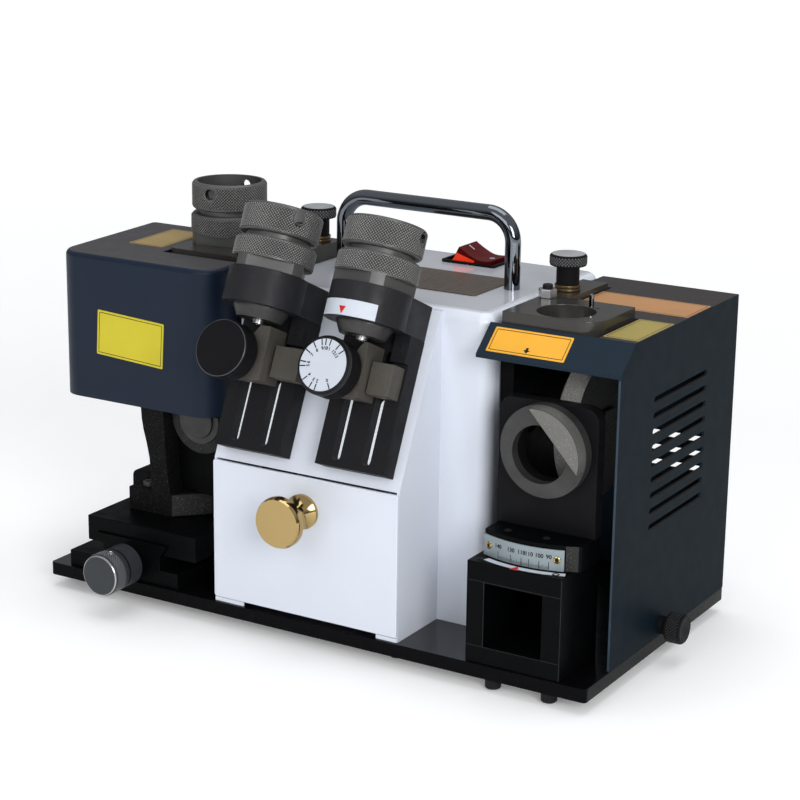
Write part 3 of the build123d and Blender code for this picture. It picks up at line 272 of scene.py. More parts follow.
BRASS = finish_material("brass", (178, 153, 104), 0.13, 1.0, shift=0.05, rough_shift=0.04, bump=0.006)
WASHER = finish_material("washer_brass", (104, 87, 60), 0.38, 0.8, shift=0.10)
KNOB = finish_material("knob_black", (22, 22, 24), 0.50, bump=0.03, grain=1800, specular=0.07)
KNOB_TOP = finish_material("knob_top", (172, 173, 176), 0.42, 0.3, shift=0.15, grain=500, specular=0.3)
# Painted glints on the knob knurls: the tips of these black knurls are coloured lighter
THUMB_GRIP = finish_material(
    "thumb_grip", (5, 5, 6), 0.45, 0.2, grain=1800, specular=0.08, tip_glint=(66, 66, 68)
)
KNOB_GRIP = finish_material(
    "knob_grip", (8, 8, 10), 0.40, 0.2, grain=1800, specular=0.15, tip_glint=(124, 124, 126)
)
FEED_GRIP = finish_material(
    "feed_grip", (8, 9, 10), 0.40, 0.3, grain=1800, specular=0.15, tip_glint=(150, 152, 156)
)
GREY = finish_material("feed_grey", (60, 63, 67), 0.44, 0.4, bump=0.02, grain=1600, specular=0.3)
# Painted highlight: a pale grey for the thin lines on the portal's joints and edges
EDGE_HIGHLIGHT_GREY = finish_material("edge_highlight_grey", (44, 45, 47), 0.45, 0.2, shift=0.3, grain=300, specular=0.1)
# Painted highlight: a lighter slate for the line along the right cover's front right edge
SLATE_EDGE_HIGHLIGHT = finish_material("slate_edge_highlight", (54, 66, 77), 0.45, 0.1, shift=0.2, grain=400, specular=0.2)
EDGE_GREY = finish_material("edge_grey", (74, 75, 78), 0.40, 0.4, shift=0.2, grain=400, specular=0.3)
RED = finish_material("switch_red", (84, 8, 7), 0.34, shift=0.10, specular=0.07)
# Painted light: a lighter, glowing red for the front face of the rocker's raised end, where the lamps fall on
# it
LIT_RED = finish_material("switch_lit", (215, 50, 18), 0.3, shift=0.12, specular=0.3, glow=0.35)
DIAL = finish_material("dial_white", (198, 204, 214), 0.5, shift=0.03, specular=0.2)
# Painted light: the white of the slot floors glows, for the light that reaches into the slots
SLOT_WHITE_GLOW = finish_material("slot_white_glow", (232, 235, 240), 0.5, shift=0.02, glow=0.6)
# Dark black for print, and for painted shade in the tommy holes and the seat's pin hole
PRINT_AND_SHADE = finish_material("print_and_shade_black", (20, 20, 22), 0.5, specular=0.2)
MARK = finish_material("mark_red", (196, 40, 36), 0.45, specular=0.2)
SCALE = finish_material("scale_plate", (140, 152, 156), 0.40, 0.35, shift=0.06, stretch=(1, 1, 8))
GRIT = finish_material(
    "wheel_grit", (112, 111, 108), 0.8, bump=0.6, grain=1100, bump_grain=900,
    specks=((226, 224, 218), 0.9), specular=0.3,
)
WHEEL = finish_material("wheel_body", (34, 34, 36), 0.5, 0.4, stretch=(1, 6, 6), specular=0.2)
RUBBER = finish_material("rubber", (20, 20, 20), 0.7, bump=0.05, specular=0.2)
AMBER = finish_material("label_amber", (232, 168, 48), 0.42, shift=0.05, specular=0.3)
DULL_AMBER = finish_material("label_dull_amber", (186, 136, 90), 0.45, shift=0.05, specular=0.3)
YELLOW = finish_material("label_yellow", (206, 191, 46), 0.42, shift=0.04, specular=0.3)
DULL_YELLOW = finish_material("label_dull_yellow", (164, 148, 80), 0.45, shift=0.05, specular=0.3)
TAN = finish_material("label_tan", (156, 132, 82), 0.45, shift=0.07, specular=0.3)
BRONZE = finish_material("name_plate", (90, 77, 67), 0.38, 0.4, shift=0.10, stretch=(8, 1, 1))

NODE_FINISH = {
    "base_plate": BASE_BLACK,
    "rubber_feet": RUBBER,
    "housing": WHITE,
    "cable_gland": KNOB,
    "drawer_runners": STEEL,
    "motor_shelf": STEEL,
    "motor_body": CAST,
    "carry_handle": CHROME,
    "switch_bezel": KNOB,
    "cover_lug": STEEL,
    "right_column": DEEP,
    "right_seat": SEAT,
    "portal_frame": DEEP,
    "dovetail_base": DEEP,
    "left_fixture": BLACK,
    "right_fixture": BLACK,
    "left_arm": ARM,
    "right_arm": ARM,
    "left_side_rest": STEEL,
    "right_side_rest": STEEL,
    "drawer_front": WHITE,
    "drawer_tray": WHITE,
    "drawer_pull": BRASS,
    "spindle_shaft": WHEEL,
    "left_wheel": WHEEL,
    "right_wheel": WHEEL,
    "wheel_nuts": WHEEL,
    "feed_knob": GREY,
    "feed_screw": BRIGHT,
    "table_slide": DEEP,
    "feed_nut": BRASS,
    "head_casting": CAST,
    "boss_cap": BLACK,
    "left_cover": NAVY,
    "left_seat": SEAT,
    "left_adjuster": KNOB,
    "right_adjuster": KNOB,
    "swivel_block": DEEP,
    "swivel_bracket": BRACKET,
    "guide_ring": RING,
    "angle_scale": SCALE,
    "switch_rocker": RED,
    "right_cover": SLATE,
    "cover_thumbscrew": KNOB,
    "left_stop": STEEL,
    "right_stop": STEEL,
    "left_clamp_knob": KNOB,
    "right_dial_knob": KNOB,
    "dial_face": DIAL,
}
for number in (1, 2, 3):
    NODE_FINISH[f"chuck_body_{number}"] = CHUCK
    NODE_FINISH[f"chuck_cap_{number}"] = CHUCK
    NODE_FINISH[f"chuck_collet_{number}"] = BRIGHT

# Widths of the broken edges in millimetres, and the angles in degrees that tell an edge
EDGES = {
    "base_plate": 0.6,
    "portal_frame": 0.5,
    "swivel_block": 0.5,
    "swivel_bracket": 0.6,
    "left_fixture": 0.6,
    "right_fixture": 0.6,
    "left_arm": 0.6,
    "right_arm": 0.6,
    "left_stop": 0.8,
    "right_stop": 0.8,
    "left_side_rest": 0.6,
    "right_side_rest": 0.6,
    "dovetail_base": 0.5,
    "table_slide": 0.6,
    "head_casting": 1.0,
    "right_seat": 0.6,
    "left_seat": 0.6,
    "guide_ring": 0.5,
    "drawer_front": 0.3,
    "housing": 0.8,
    "right_cover": 0.4,
}
WELD_GAP = 0.01
FLAT_ANGLE, BEVEL_ANGLE, SPLIT_ANGLE = 0.6, 38, 34


def soften(thing, width):
    """Break the sharp edges and shade the rest smooth."""
    weld = thing.modifiers.new("weld", "WELD")
    weld.merge_threshold = WELD_GAP * MM
    if width:
        flat = thing.modifiers.new("flat", "DECIMATE")
        flat.decimate_type = "DISSOLVE"
        flat.angle_limit = radians(FLAT_ANGLE)
        bevel = thing.modifiers.new("edges", "BEVEL")
        bevel.width = width * MM
        bevel.segments = 2
        bevel.limit_method = "ANGLE"
        bevel.angle_limit = radians(BEVEL_ANGLE)
    split = thing.modifiers.new("split", "EDGE_SPLIT")
    split.split_angle = radians(SPLIT_ANGLE)
    weighted = thing.modifiers.new("weighted", "WEIGHTED_NORMAL")
    weighted.weight = 100
    thing.data.shade_smooth()


for node_name, node in nodes.items():
    node.data.materials.clear()
    node.data.materials.append(NODE_FINISH[node_name])
    if "custom_normal" in node.data.attributes:
        node.data.attributes.remove(node.data.attributes["custom_normal"])
    soften(node, EDGES.get(node_name, 0))
# Faces that look along a direction get a second finish: painted sheen on the covers' tops, painted shade on
# the right cover's right side and on the housing's top, a glossier black on the base plate's top
for node_name, way, face_finish in (
    ("left_cover", Z, NAVY_TOP_SHEEN),
    ("right_cover", Z, SLATE_TOP_SHEEN),
    ("right_cover", ACROSS, SLATE_SIDE_SHADE),
    ("housing", Z, WHITE_TOP_SHADE),
    ("base_plate", Z, BASE_TOP),
):
    mesh = nodes[node_name].data
    mesh.materials.append(face_finish)
    for polygon in mesh.polygons:
        if polygon.normal.dot(way) > FACING:
            polygon.material_index = len(mesh.materials) - 1


# Builders
CORNER_STEPS = 5
LETTER_STEPS, LETTER_WEIGHT = 3, 0.03


def spread(first, sweep, steps):
    """Values in even steps from the first one, over a sweep."""
    return [first + sweep * step / steps for step in range(steps + 1)]


def piece(name, points, faces, material, body, slot, edge=0.0, smooth=True):
    """A mesh from points in millimetres of the shared frame, riding on a body."""
    mesh = bpy.data.meshes.new(name)
    mesh.from_pydata([tuple(Vector(p) * MM) for p in points], [], faces)
    shape = bmesh.new()
    shape.from_mesh(mesh)
    bmesh.ops.recalc_face_normals(shape, faces=shape.faces)
    shape.to_mesh(mesh)
    shape.free()
    mesh.materials.append(material)
    thing = bpy.data.objects.new(name, mesh)
    bpy.context.scene.collection.objects.link(thing)
    if edge or smooth:
        soften(thing, edge)
    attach(thing, body)
    return thing


def slabs(name, plane, outlines, thickness, material, body, slot, edge=0.0):
    """Flat plates on a plane, each an outline of (u, v) points raised along the normal."""
    origin, u_axis, v_axis = (Vector(p) for p in plane)
    normal = u_axis.cross(v_axis).normalized()
    points, faces = [], []
    for outline in outlines:
        start, count = len(points), len(outline)
        for level in (0.0, thickness):
            points += [origin + u_axis * u + v_axis * v + normal * level for u, v in outline]
        faces.append(list(range(start + count, start + 2 * count)))
        faces.append(list(range(start + count - 1, start - 1, -1)))
        for i in range(count):
            j = (i + 1) % count
            faces.append([start + i, start + j, start + count + j, start + count + i])
    return piece(name, points, faces, material, body, slot, edge)


def box_outline(left, right, low, high):
    """Outline of a plain rectangle."""
    return [(left, low), (right, low), (right, high), (left, high)]


def rounded(width, height, radius, center=(0, 0)):
    """Outline of a rectangle with rounded corners."""
    outline = []
    corners = ((1, 1, 0), (-1, 1, 90), (-1, -1, 180), (1, -1, 270))
    for sx, sy, first in corners:
        for angle in spread(first, 90, CORNER_STEPS):
            u = center[0] + sx * (width / 2 - radius) + radius * cos(radians(angle))
            v = center[1] + sy * (height / 2 - radius) + radius * sin(radians(angle))
            outline.append((u, v))
    return outline


def across_of(axis):
    """Two directions square to an axis, the first as near to +X as it can be."""
    axis = Vector(axis).normalized()
    first = ACROSS if abs(axis.x) < FACING else REAR
    first = (first - axis * first.dot(axis)).normalized()
    return axis, first, axis.cross(first)


def turned(name, origin, axis, profile, material, body, slot, segments=72):
    """Turn a profile of (radius, height) points; radius 0 closes an end."""
    axis, first, second = across_of(axis)
    origin = Vector(origin)
    points, faces, rings = [], [], []
    for radius, height in profile:
        if radius == 0:
            rings.append([len(points)] * segments)
            points.append(origin + axis * height)
            continue
        rings.append(list(range(len(points), len(points) + segments)))
        for step in range(segments):
            angle = 2 * pi * step / segments
            points.append(origin + axis * height + (first * cos(angle) + second * sin(angle)) * radius)
    for low, high in zip(rings, rings[1:]):
        for i in range(segments):
            j = (i + 1) % segments
            corners = [low[i], low[j], high[j], high[i]]
            faces.append(list(dict.fromkeys(corners)))
    return piece(name, points, faces, material, body, slot)


def ribbon(name, pairs, material, body, slot):
    """A skin between two edges, given as pairs of edge points."""
    points = [point for pair in pairs for point in pair]
    faces = [[2 * i, 2 * i + 2, 2 * i + 3, 2 * i + 1] for i in range(len(pairs) - 1)]
    return piece(name, points, faces, material, body, slot)


def knurl(name, origin, axis, radius, span, material, body, slot, pitch, depth, holes=()):
    """Diamond knurl: rows of small pyramids round a cylinder, left out near the holes.

    Each hole is (angle in degrees, height, clear radius)."""
    axis, first, second = across_of(axis)
    origin = Vector(origin)
    low, high = span
    count = round(2 * pi * radius / pitch)
    rows = max(1, round((high - low) / pitch))
    step_h = (high - low) / rows
    step_a = 2 * pi / count

    def at(angle, height, lift):
        return origin + axis * height + (first * cos(angle) + second * sin(angle)) * (radius + lift)

    def near_hole(angle, height):
        for hole_angle, hole_height, clear in holes:
            turn = (angle - radians(hole_angle) + pi) % (2 * pi) - pi
            if sqrt((turn * radius) ** 2 + (height - hole_height) ** 2) < clear:
                return True
        return False

    points, faces = [], []
    for row in range(2 * rows - 1):
        middle = low + step_h * (row + 1) / 2
        for column in range(count):
            angle = (column + (row % 2) / 2) * step_a
            if near_hole(angle, middle):
                continue
            start = len(points)
            points += [
                at(angle - step_a / 2, middle, 0.0),
                at(angle, middle - step_h / 2, 0.0),
                at(angle + step_a / 2, middle, 0.0),
                at(angle, middle + step_h / 2, 0.0),
                at(angle, middle, depth),
            ]
            for i in range(4):
                faces.append([start + i, start + (i + 1) % 4, start + 4])
    thing = piece(name, points, faces, material, body, slot, smooth=False)
    # Heights mark the pyramids' tips, which the knurl materials paint as glints
    tips = thing.data.attributes.new("height", "FLOAT", "POINT")
    tips.data.foreach_set("value", [1.0 if i % 5 == 4 else 0.0 for i in range(len(points))])
    return thing


def text_points(text, size):
    """Flat mesh points and faces of a text centred on its own origin."""
    curve = bpy.data.curves.new("letters", "FONT")
    curve.body = text
    curve.size = size
    curve.align_x = "CENTER"
    curve.align_y = "CENTER"
    curve.resolution_u = LETTER_STEPS
    curve.offset = LETTER_WEIGHT * size
    holder = bpy.data.objects.new("letters", curve)
    bpy.context.scene.collection.objects.link(holder)
    bpy.context.view_layer.update()
    drawn = holder.evaluated_get(bpy.context.evaluated_depsgraph_get())
    mesh = bpy.data.meshes.new_from_object(drawn)
    points = [v.co.copy() for v in mesh.vertices]
    faces = [list(f.vertices) for f in mesh.polygons]
    bpy.data.objects.remove(holder)
    bpy.data.curves.remove(curve)
    bpy.data.meshes.remove(mesh)
    return points, faces


def printed(name, marks, size, place, body):
    """Numbers on a face, where place(angle, x, y) puts a point of the number at that mark."""
    points, faces = [], []
    for text, angle in marks.items():
        letters, outlines = text_points(text, size)
        start = len(points)
        points += [place(angle, letter.x, letter.y) for letter in letters]
        faces += [[start + i for i in outline] for outline in outlines]
    piece(name, points, faces, PRINT_AND_SHADE, body, "knob_black", smooth=False)


# Chucks, each with its seat, its axis and the turn of its tommy holes in degrees
CHUCKS = {
    1: (panel_point(FIXTURE_X["left"], ARM_TOP, ARM_OUT), UP, -32.5),
    2: (panel_point(FIXTURE_X["right"], ARM_TOP, ARM_OUT), UP, 8.4),
    3: (Vector((-136.3, -2.5, 257.3)), Z, -87.0),
}
CAP_RADIUS, CAP_GRIP = 27.3, (27.0, 44.6)
RING_RADIUS, RING_GRIP = 28.1, (8.0, 21.0)
CUP_RADIUS, CUP_SLACK = 24.2, 0.1
NOSE_TOP = -1.0
GRIP_LIFT = 0.12
TOMMY_HEIGHT, TOMMY_CLEAR = 38.8, 5.6
TOMMY_PARTS = (
    ("rim", [(4.12, -0.6), (4.9, 0.0), (4.9, 0.14), (4.12, -0.3)], CHUCK),
    # Painted shade: the hole's wall is a dark liner for the shade inside the tommy hole
    ("wall", [(4.05, -4.6), (4.05, -0.5)], PRINT_AND_SHADE),
)
CHUCK_GRIP = dict(material=KNURL, slot="chuck_steel", pitch=2.2, depth=0.6)
for number, (seat, axis, hole_turn) in CHUCKS.items():
    cap_body = f"cap_{number}"
    holes = [(hole_turn + half, TOMMY_HEIGHT, TOMMY_CLEAR) for half in (0, 180)]
    grip_radius = CAP_RADIUS + GRIP_LIFT
    knurl(f"cap_knurl_{number}", seat, axis, grip_radius, CAP_GRIP, body=cap_body, holes=holes, **CHUCK_GRIP)
    grip_radius = RING_RADIUS + GRIP_LIFT
    knurl(f"ring_knurl_{number}", seat, axis, grip_radius, RING_GRIP, body=f"chuck_{number}", **CHUCK_GRIP)
    ahead, first, second = across_of(axis)
    # Faces inside the cap's cup that face inwards get the painted shade
    cap = nodes[f"chuck_cap_{number}"]
    cap.data.materials.append(CUP_SHADE)
    for polygon in cap.data.polygons:
        spoke = cap.matrix_world @ polygon.center - seat * MM
        spoke -= ahead * spoke.dot(ahead)
        if spoke.length < CUP_RADIUS * MM and polygon.normal.dot(spoke) <= CUP_SLACK * MM:
            polygon.material_index = 1
    lower = nodes[f"chuck_body_{number}"]
    lower.data.materials.append(RING)
    for polygon in lower.data.polygons:
        if (lower.matrix_world @ polygon.center - seat * MM).dot(ahead) < NOSE_TOP * MM:
            polygon.material_index = 1
    for index, (angle, height, _) in enumerate(holes):
        way = first * cos(radians(angle)) + second * sin(radians(angle))
        mouth = seat + ahead * height + way * CAP_RADIUS
        for part, profile, material in TOMMY_PARTS:
            name = f"tommy_{part}_{number}_{index}"
            turned(name, mouth, way, profile, material, cap_body, "chuck_steel", segments=24)

# Clamping knob on the left fixture and dial knob on the right one
KNOB_SHIFT, KNOB_UP, KNOB_OUT = -12.0, 70.5, 38.2
left_knob, right_knob = (panel_point(x + KNOB_SHIFT, KNOB_UP, KNOB_OUT) for x in FIXTURE_X.values())
KNOB_FACE, GROOVE_FLOOR, GROOVE_HALF = 19.04, 18.98, 0.2
knob_face = [(0, 18.9), (0.9, KNOB_FACE)]
for groove in (6.1, 12.5):
    knob_face += [(groove - GROOVE_HALF, KNOB_FACE), (groove, GROOVE_FLOOR)]
    knob_face.append((groove + GROOVE_HALF, KNOB_FACE))
knob_face.append((18.9, KNOB_FACE))
knob_rim = [(19.5, 19.02), (19.65, 19.05), (20.1, 18.6), (20.0, 18.45)]
dial_rim = [(17.95, 19.0), (17.95, 19.7), (18.7, 19.7), (19.2, 19.0)]
dial_edge = [(19.9, 18.5), (20.35, 17.8), (20.6, 17.4), (20.6, 16.9)]
turned("left_knob_rim", left_knob, OUT, knob_rim, EDGE_GREY, "left_clamp", "bare_steel")
turned("left_knob_face", left_knob, OUT, knob_face, KNOB, "left_clamp", "knob_black")
turned("dial_rim", right_knob, OUT, dial_rim, PRINT_AND_SHADE, "right_dial", "knob_black")
turned("dial_bright_edge", right_knob, OUT, dial_edge, EDGE_GREY, "right_dial", "bare_steel")
DIAL_MARKS = {
    "0": 164, "2": 202, "3": 217, "4": 242, "5": 275, "6": 286, "7": 314,
    "8": 337, "9": 358, "10": 9, "11": 22, "12": 47, "13": 64,
}
DIAL_START = 105
DIAL_TICK, DIAL_TICK_HALF = (13.4, 17.8), 0.42
DIAL_NUMBERS_RADIUS, DIAL_NUMBERS_SIZE = 11.3, 3.3
DIAL_FACE, DIAL_TICK_THICKNESS, DIAL_NUMBERS_LIFT = 19.82, 0.05, 0.04
dial_plane = (right_knob + OUT * DIAL_FACE, ACROSS, UP)


def dial_way(angle):
    """Direction on the dial's face towards a mark."""
    return Vector((cos(radians(DIAL_START - angle)), sin(radians(DIAL_START - angle))))


def dial_point(angle, x, y):
    """A point of the number at a mark."""
    along = dial_way(angle)
    spot = along * (DIAL_NUMBERS_RADIUS + y) + Vector((along.y, -along.x)) * x
    return dial_plane[0] + ACROSS * spot.x + UP * spot.y + OUT * DIAL_NUMBERS_LIFT


ticks = []
for angle in DIAL_MARKS.values():
    along = dial_way(angle)
    side = Vector((-along.y, along.x)) * DIAL_TICK_HALF
    inner, outer = (along * radius for radius in DIAL_TICK)
    ticks.append([inner - side, outer - side, outer + side, inner + side])
slabs("dial_ticks", dial_plane, ticks, DIAL_TICK_THICKNESS, PRINT_AND_SHADE, "right_dial", "knob_black")
printed("dial_numbers", DIAL_MARKS, DIAL_NUMBERS_SIZE, dial_point, "right_dial")

# Pale floors of the fixture slots, white like the panel behind, with a painted glow for the light that
# reaches into the slots
SLOT_FOOT, SLOT_WIDTH, SLOT_CORNER = 13.0, 6.7, 3.3
SLOT_TOPS = {-12.0: 80.0, 12.0: 60.0}
SLOT_FLOOR, SLOT_FLOOR_THICKNESS = 6.32, 0.15
for name, x in FIXTURE_X.items():
    floors = []
    for u, top in SLOT_TOPS.items():
        middle = (u, (top + SLOT_FOOT) / 2)
        floors.append(rounded(SLOT_WIDTH, top - SLOT_FOOT, SLOT_CORNER, middle))
    plane = (panel_point(x, 0.0, SLOT_FLOOR), ACROSS, UP)
    thickness = SLOT_FLOOR_THICKNESS
    slabs(f"{name}_slot_floor", plane, floors, thickness, SLOT_WHITE_GLOW, "frame", "white_paint")

# Bent flanges of the cabinet's side sheets, under the drawer front
FLANGE_SPANS = ((-73.3, -48.5), (62.5, 79.3))
FLANGE_LOW, FLANGE_HIGH, FLANGE_SHEET, FLANGE_LAP = 19.1, 22.3, 1.6, 0.1
flanges = [box_outline(left, right, FLANGE_LOW, FLANGE_HIGH) for left, right in FLANGE_SPANS]
flange_plane = (Vector((0, CABINET_FRONT + FLANGE_LAP, 0)), ACROSS, Z)
slabs("cabinet_flanges", flange_plane, flanges, FLANGE_SHEET, WHITE, "frame", "white_paint", 0.5)

# Grit rims of the wheels
GRIT_BAND, GRIT_CORNER, GRIT_LIFT = 6.0, 1.5, 0.1
for name, left, width, radius in (("left", -139.0, 14.0, 31.0), ("right", 171.3, 15.0, 50.0)):
    rim = [(radius - GRIT_BAND, 0.0), (radius - GRIT_CORNER, -GRIT_LIFT)]
    rim += [(radius + GRIT_LIFT, GRIT_CORNER), (radius + GRIT_LIFT, width - GRIT_CORNER)]
    rim.append((radius - GRIT_CORNER, width + GRIT_LIFT))
    wheel_place = (left, SPINDLE_Y, SPINDLE_Z)
    turned(f"{name}_wheel_grit", wheel_place, ACROSS, rim, GRIT, "spindle", "wheel_body", segments=96)

# Pointer strip round the right arm, with its red mark
ARM_RADIUS = 28.4
STRIP_FIRST, STRIP_SWEEP, STRIP_STEPS = -78, 121, 30
STRIP_LOW, STRIP_HIGH, STRIP_LIFT = 104.5, 115.6, 0.12
MARK_FIRST, MARK_SWEEP, MARK_HALF_STEPS = -11.4, 11, 4
MARK_TIP, MARK_POINT, MARK_HIGH, MARK_LIFT = 105.2, 5.4, 110.7, 0.2
arm_seat = CHUCKS[2][0]


def arm_point(angle, w, lift):
    """A point on the right arm's rounded front; angle 0 faces straight out."""
    way = ACROSS * sin(radians(angle)) + OUT * cos(radians(angle))
    return arm_seat + UP * (w - ARM_TOP) + way * (ARM_RADIUS + lift)


def wrapped(name, columns, lift, material, slot):
    """A thin skin on the arm's round front, from columns of angle, low edge and high edge."""
    pairs = [(arm_point(angle, low, lift), arm_point(angle, high, lift)) for angle, low, high in columns]
    ribbon(name, pairs, material, "frame", slot)


strip = [(angle, STRIP_LOW, STRIP_HIGH) for angle in spread(STRIP_FIRST, STRIP_SWEEP, STRIP_STEPS)]
wrapped("pointer_strip", strip, STRIP_LIFT, DIAL, "dial_white")
mark = []
for step, angle in enumerate(spread(MARK_FIRST, MARK_SWEEP, 2 * MARK_HALF_STEPS)):
    low = MARK_TIP + MARK_POINT * abs(step - MARK_HALF_STEPS) / MARK_HALF_STEPS
    mark.append((angle, low, MARK_HIGH))
wrapped("pointer_mark", mark, MARK_LIFT, MARK, "switch_red")

# Angle scale on the swivel block
SCALE_RADIUS, SCALE_PRINT_LIFT = 81.1, 0.06
SCALE_MARKS = {"140": -14.4, "130": -6.9, "118": -1.05, "110": 2.9, "100": 8.0, "90": 12.7}
SCALE_FIRST, SCALE_SWEEP, SCALE_STEPS = -14.4, 27.1, 50
SCALE_NUMBERS_Z, SCALE_NUMBERS_SIZE = 100.9, 4.0
TICK_FOOT, MARK_TICK_TOP, LONG_TICK_TOP, SHORT_TICK_TOP = 92.0, 97.4, 95.2, 94.2
MARK_TICK_HALF, TICK_HALF, LONG_TICK_EVERY = 0.16, 0.08, 5
RIVET_Z = 99.3


def scale_point(angle, z, lift=0.0):
    """A point on the scale's round face; angle 0 faces the front."""
    reach = SCALE_RADIUS + lift
    return PIVOT + Vector((sin(radians(angle)) * reach, -cos(radians(angle)) * reach, z))


def scale_number_point(angle, x, y):
    """A point of the number at a mark."""
    return scale_point(angle + degrees(x / SCALE_RADIUS), SCALE_NUMBERS_Z + y, SCALE_PRINT_LIFT)


scale_ticks = [(angle, MARK_TICK_TOP, MARK_TICK_HALF) for angle in SCALE_MARKS.values()]
for step, angle in enumerate(spread(SCALE_FIRST, SCALE_SWEEP, SCALE_STEPS)):
    top = SHORT_TICK_TOP if step % LONG_TICK_EVERY else LONG_TICK_TOP
    scale_ticks.append((angle, top, TICK_HALF))
tick_points, tick_faces = [], []
for angle, top, half in scale_ticks:
    start = len(tick_points)
    for side, z in box_outline(-half, half, TICK_FOOT, top):
        tick_points.append(scale_point(angle + side, z, SCALE_PRINT_LIFT))
    tick_faces.append(list(range(start, start + 4)))
piece("scale_ticks", tick_points, tick_faces, PRINT_AND_SHADE, "swivel", "knob_black", smooth=False)
printed("scale_numbers", SCALE_MARKS, SCALE_NUMBERS_SIZE, scale_number_point, "swivel")
rivet_ring = [(1.25, 0.1), (1.35, 0.6), (1.9, 0.75), (2.45, 0.5), (2.65, 0.0)]
rivet_eye = [(0, 0.2), (1.3, 0.2)]
for side, angle in (("left", -20.6), ("right", 16.6)):
    place = scale_point(angle, RIVET_Z)
    way = (scale_point(angle, 0) - PIVOT).normalized()
    turned(f"scale_rivet_ring_{side}", place, way, rivet_ring, BRASS, "swivel", "polished_brass", segments=32)
    turned(f"scale_rivet_eye_{side}", place, way, rivet_eye, PRINT_AND_SHADE, "swivel", "knob_black", segments=32)

# Speckled end of the swivel block, right of the scale
BARE_FIRST, BARE_SWEEP, BARE_LIFT, BARE_EDGES = 20.6, 6, -1.05, (91.6, 109.0)
bare_angles = spread(BARE_FIRST, BARE_SWEEP, BARE_SWEEP)
bare_end = [tuple(scale_point(angle, z, BARE_LIFT) for z in BARE_EDGES) for angle in bare_angles]
ribbon("swivel_bare_end", bare_end, SPECKLED, "swivel", "black_steel")

# Ground face and rim of the ring's raised part, a disc cut on a chord
RAISED_RADIUS, RAISED_SHIFT, CHORD_REACH, CHORD_TURN = 31.6, 3.7, 20.7, 42.5
GUIDE_Z, RAISED_FRONT, SEGMENT_STEPS = 163.8, -98.7, 20
RIM_RADIUS, RIM_FRONT, RIM_BACK = 31.86, -98.5, -87.7
chord_turn = radians(CHORD_TURN)
chord_way = Vector((cos(chord_turn), 0, sin(chord_turn)))
chord_side = Vector((-sin(chord_turn), 0, cos(chord_turn)))
ring_middle = Vector((STATION_X, 0, GUIDE_Z)) + chord_way * RAISED_SHIFT
segment_half = acos((CHORD_REACH - RAISED_SHIFT) / RAISED_RADIUS)
segment = [segment_half * step / SEGMENT_STEPS for step in range(-SEGMENT_STEPS, SEGMENT_STEPS + 1)]
face_outline = [(RAISED_RADIUS * cos(a), RAISED_RADIUS * sin(a)) for a in segment]
face_plane = (ring_middle + REAR * RAISED_FRONT, chord_way, chord_side)
slabs("ring_ground_face", face_plane, [face_outline], 0.1, RING_FACE, "swivel", "chuck_steel", 0.05)
rim_pairs = []
for a in segment:
    edge_point = ring_middle + (chord_way * cos(a) + chord_side * sin(a)) * RIM_RADIUS
    rim_pairs.append((edge_point + REAR * RIM_FRONT, edge_point + REAR * RIM_BACK))
ribbon("ring_ground_rim", rim_pairs, RING_FACE, "swivel", "chuck_steel")

# Pale strip with a red pointer on the portal, below the scale
ARC_FIRST, ARC_SWEEP, ARC_STEPS, ARC_INNER, ARC_OUTER = -19.0, 40, 24, 83.0, 87.6


def portal_arc(radius, angles):
    """Points round the swivel's pivot; angle 0 faces the front."""
    return [(PIVOT.x + radius * sin(radians(a)), PIVOT.y - radius * cos(radians(a))) for a in angles]


arc = spread(ARC_FIRST, ARC_SWEEP, ARC_STEPS)
strip_outline = portal_arc(ARC_INNER, arc) + portal_arc(ARC_OUTER, arc[::-1])
strip_plane = (Z * (PORTAL_TOP + 0.02), ACROSS, REAR)
slabs("portal_strip", strip_plane, [strip_outline], 0.15, DIAL, "frame", "dial_white")
tip_x, tip_y = PIVOT.x - 2.6, PIVOT.y - 82.2
pointer = [(tip_x, tip_y), (tip_x - 3.4, tip_y - 7.4), (tip_x + 3.0, tip_y - 7.4)]
pointer_plane = (Z * (PORTAL_TOP + 0.18), ACROSS, REAR)
slabs("portal_mark", pointer_plane, [pointer], 0.08, MARK, "frame", "switch_red")

# Right cover: seal under its rear wall, a painted highlight along its front right edge, strip inside its
# lowest rear slot
on_cover = ("wheel_cover", "black_steel")
seal = box_outline(119.5, 223.0, 113.2, 114.4)
slabs("cover_seal", (Z * 19.1, ACROSS, REAR), [seal], 2.4, RUBBER, *on_cover, 0.2)
edge_highlight = box_outline(223.3, 224.7, 20.0, 220.0)
slabs("cover_edge_highlight", (REAR * COVER_FRONT, ACROSS, Z), [edge_highlight], 0.04, SLATE_EDGE_HIGHLIGHT, *on_cover)
slot_strip = rounded(70.0, 6.6, 1.0, (STATION_X, 94.53))
slabs("rear_slot_strip", (REAR * 114.45, ACROSS, Z), [slot_strip], 0.8, BLACK, *on_cover, 0.2)

# Bare plates
PLATE_THICKNESS, PLATE_CORNER = 0.25, 0.8
PLATE_LINE_LIFT, LINE_OUTER_INSET, LINE_INNER_INSET = 0.29, 1.5, 2.0


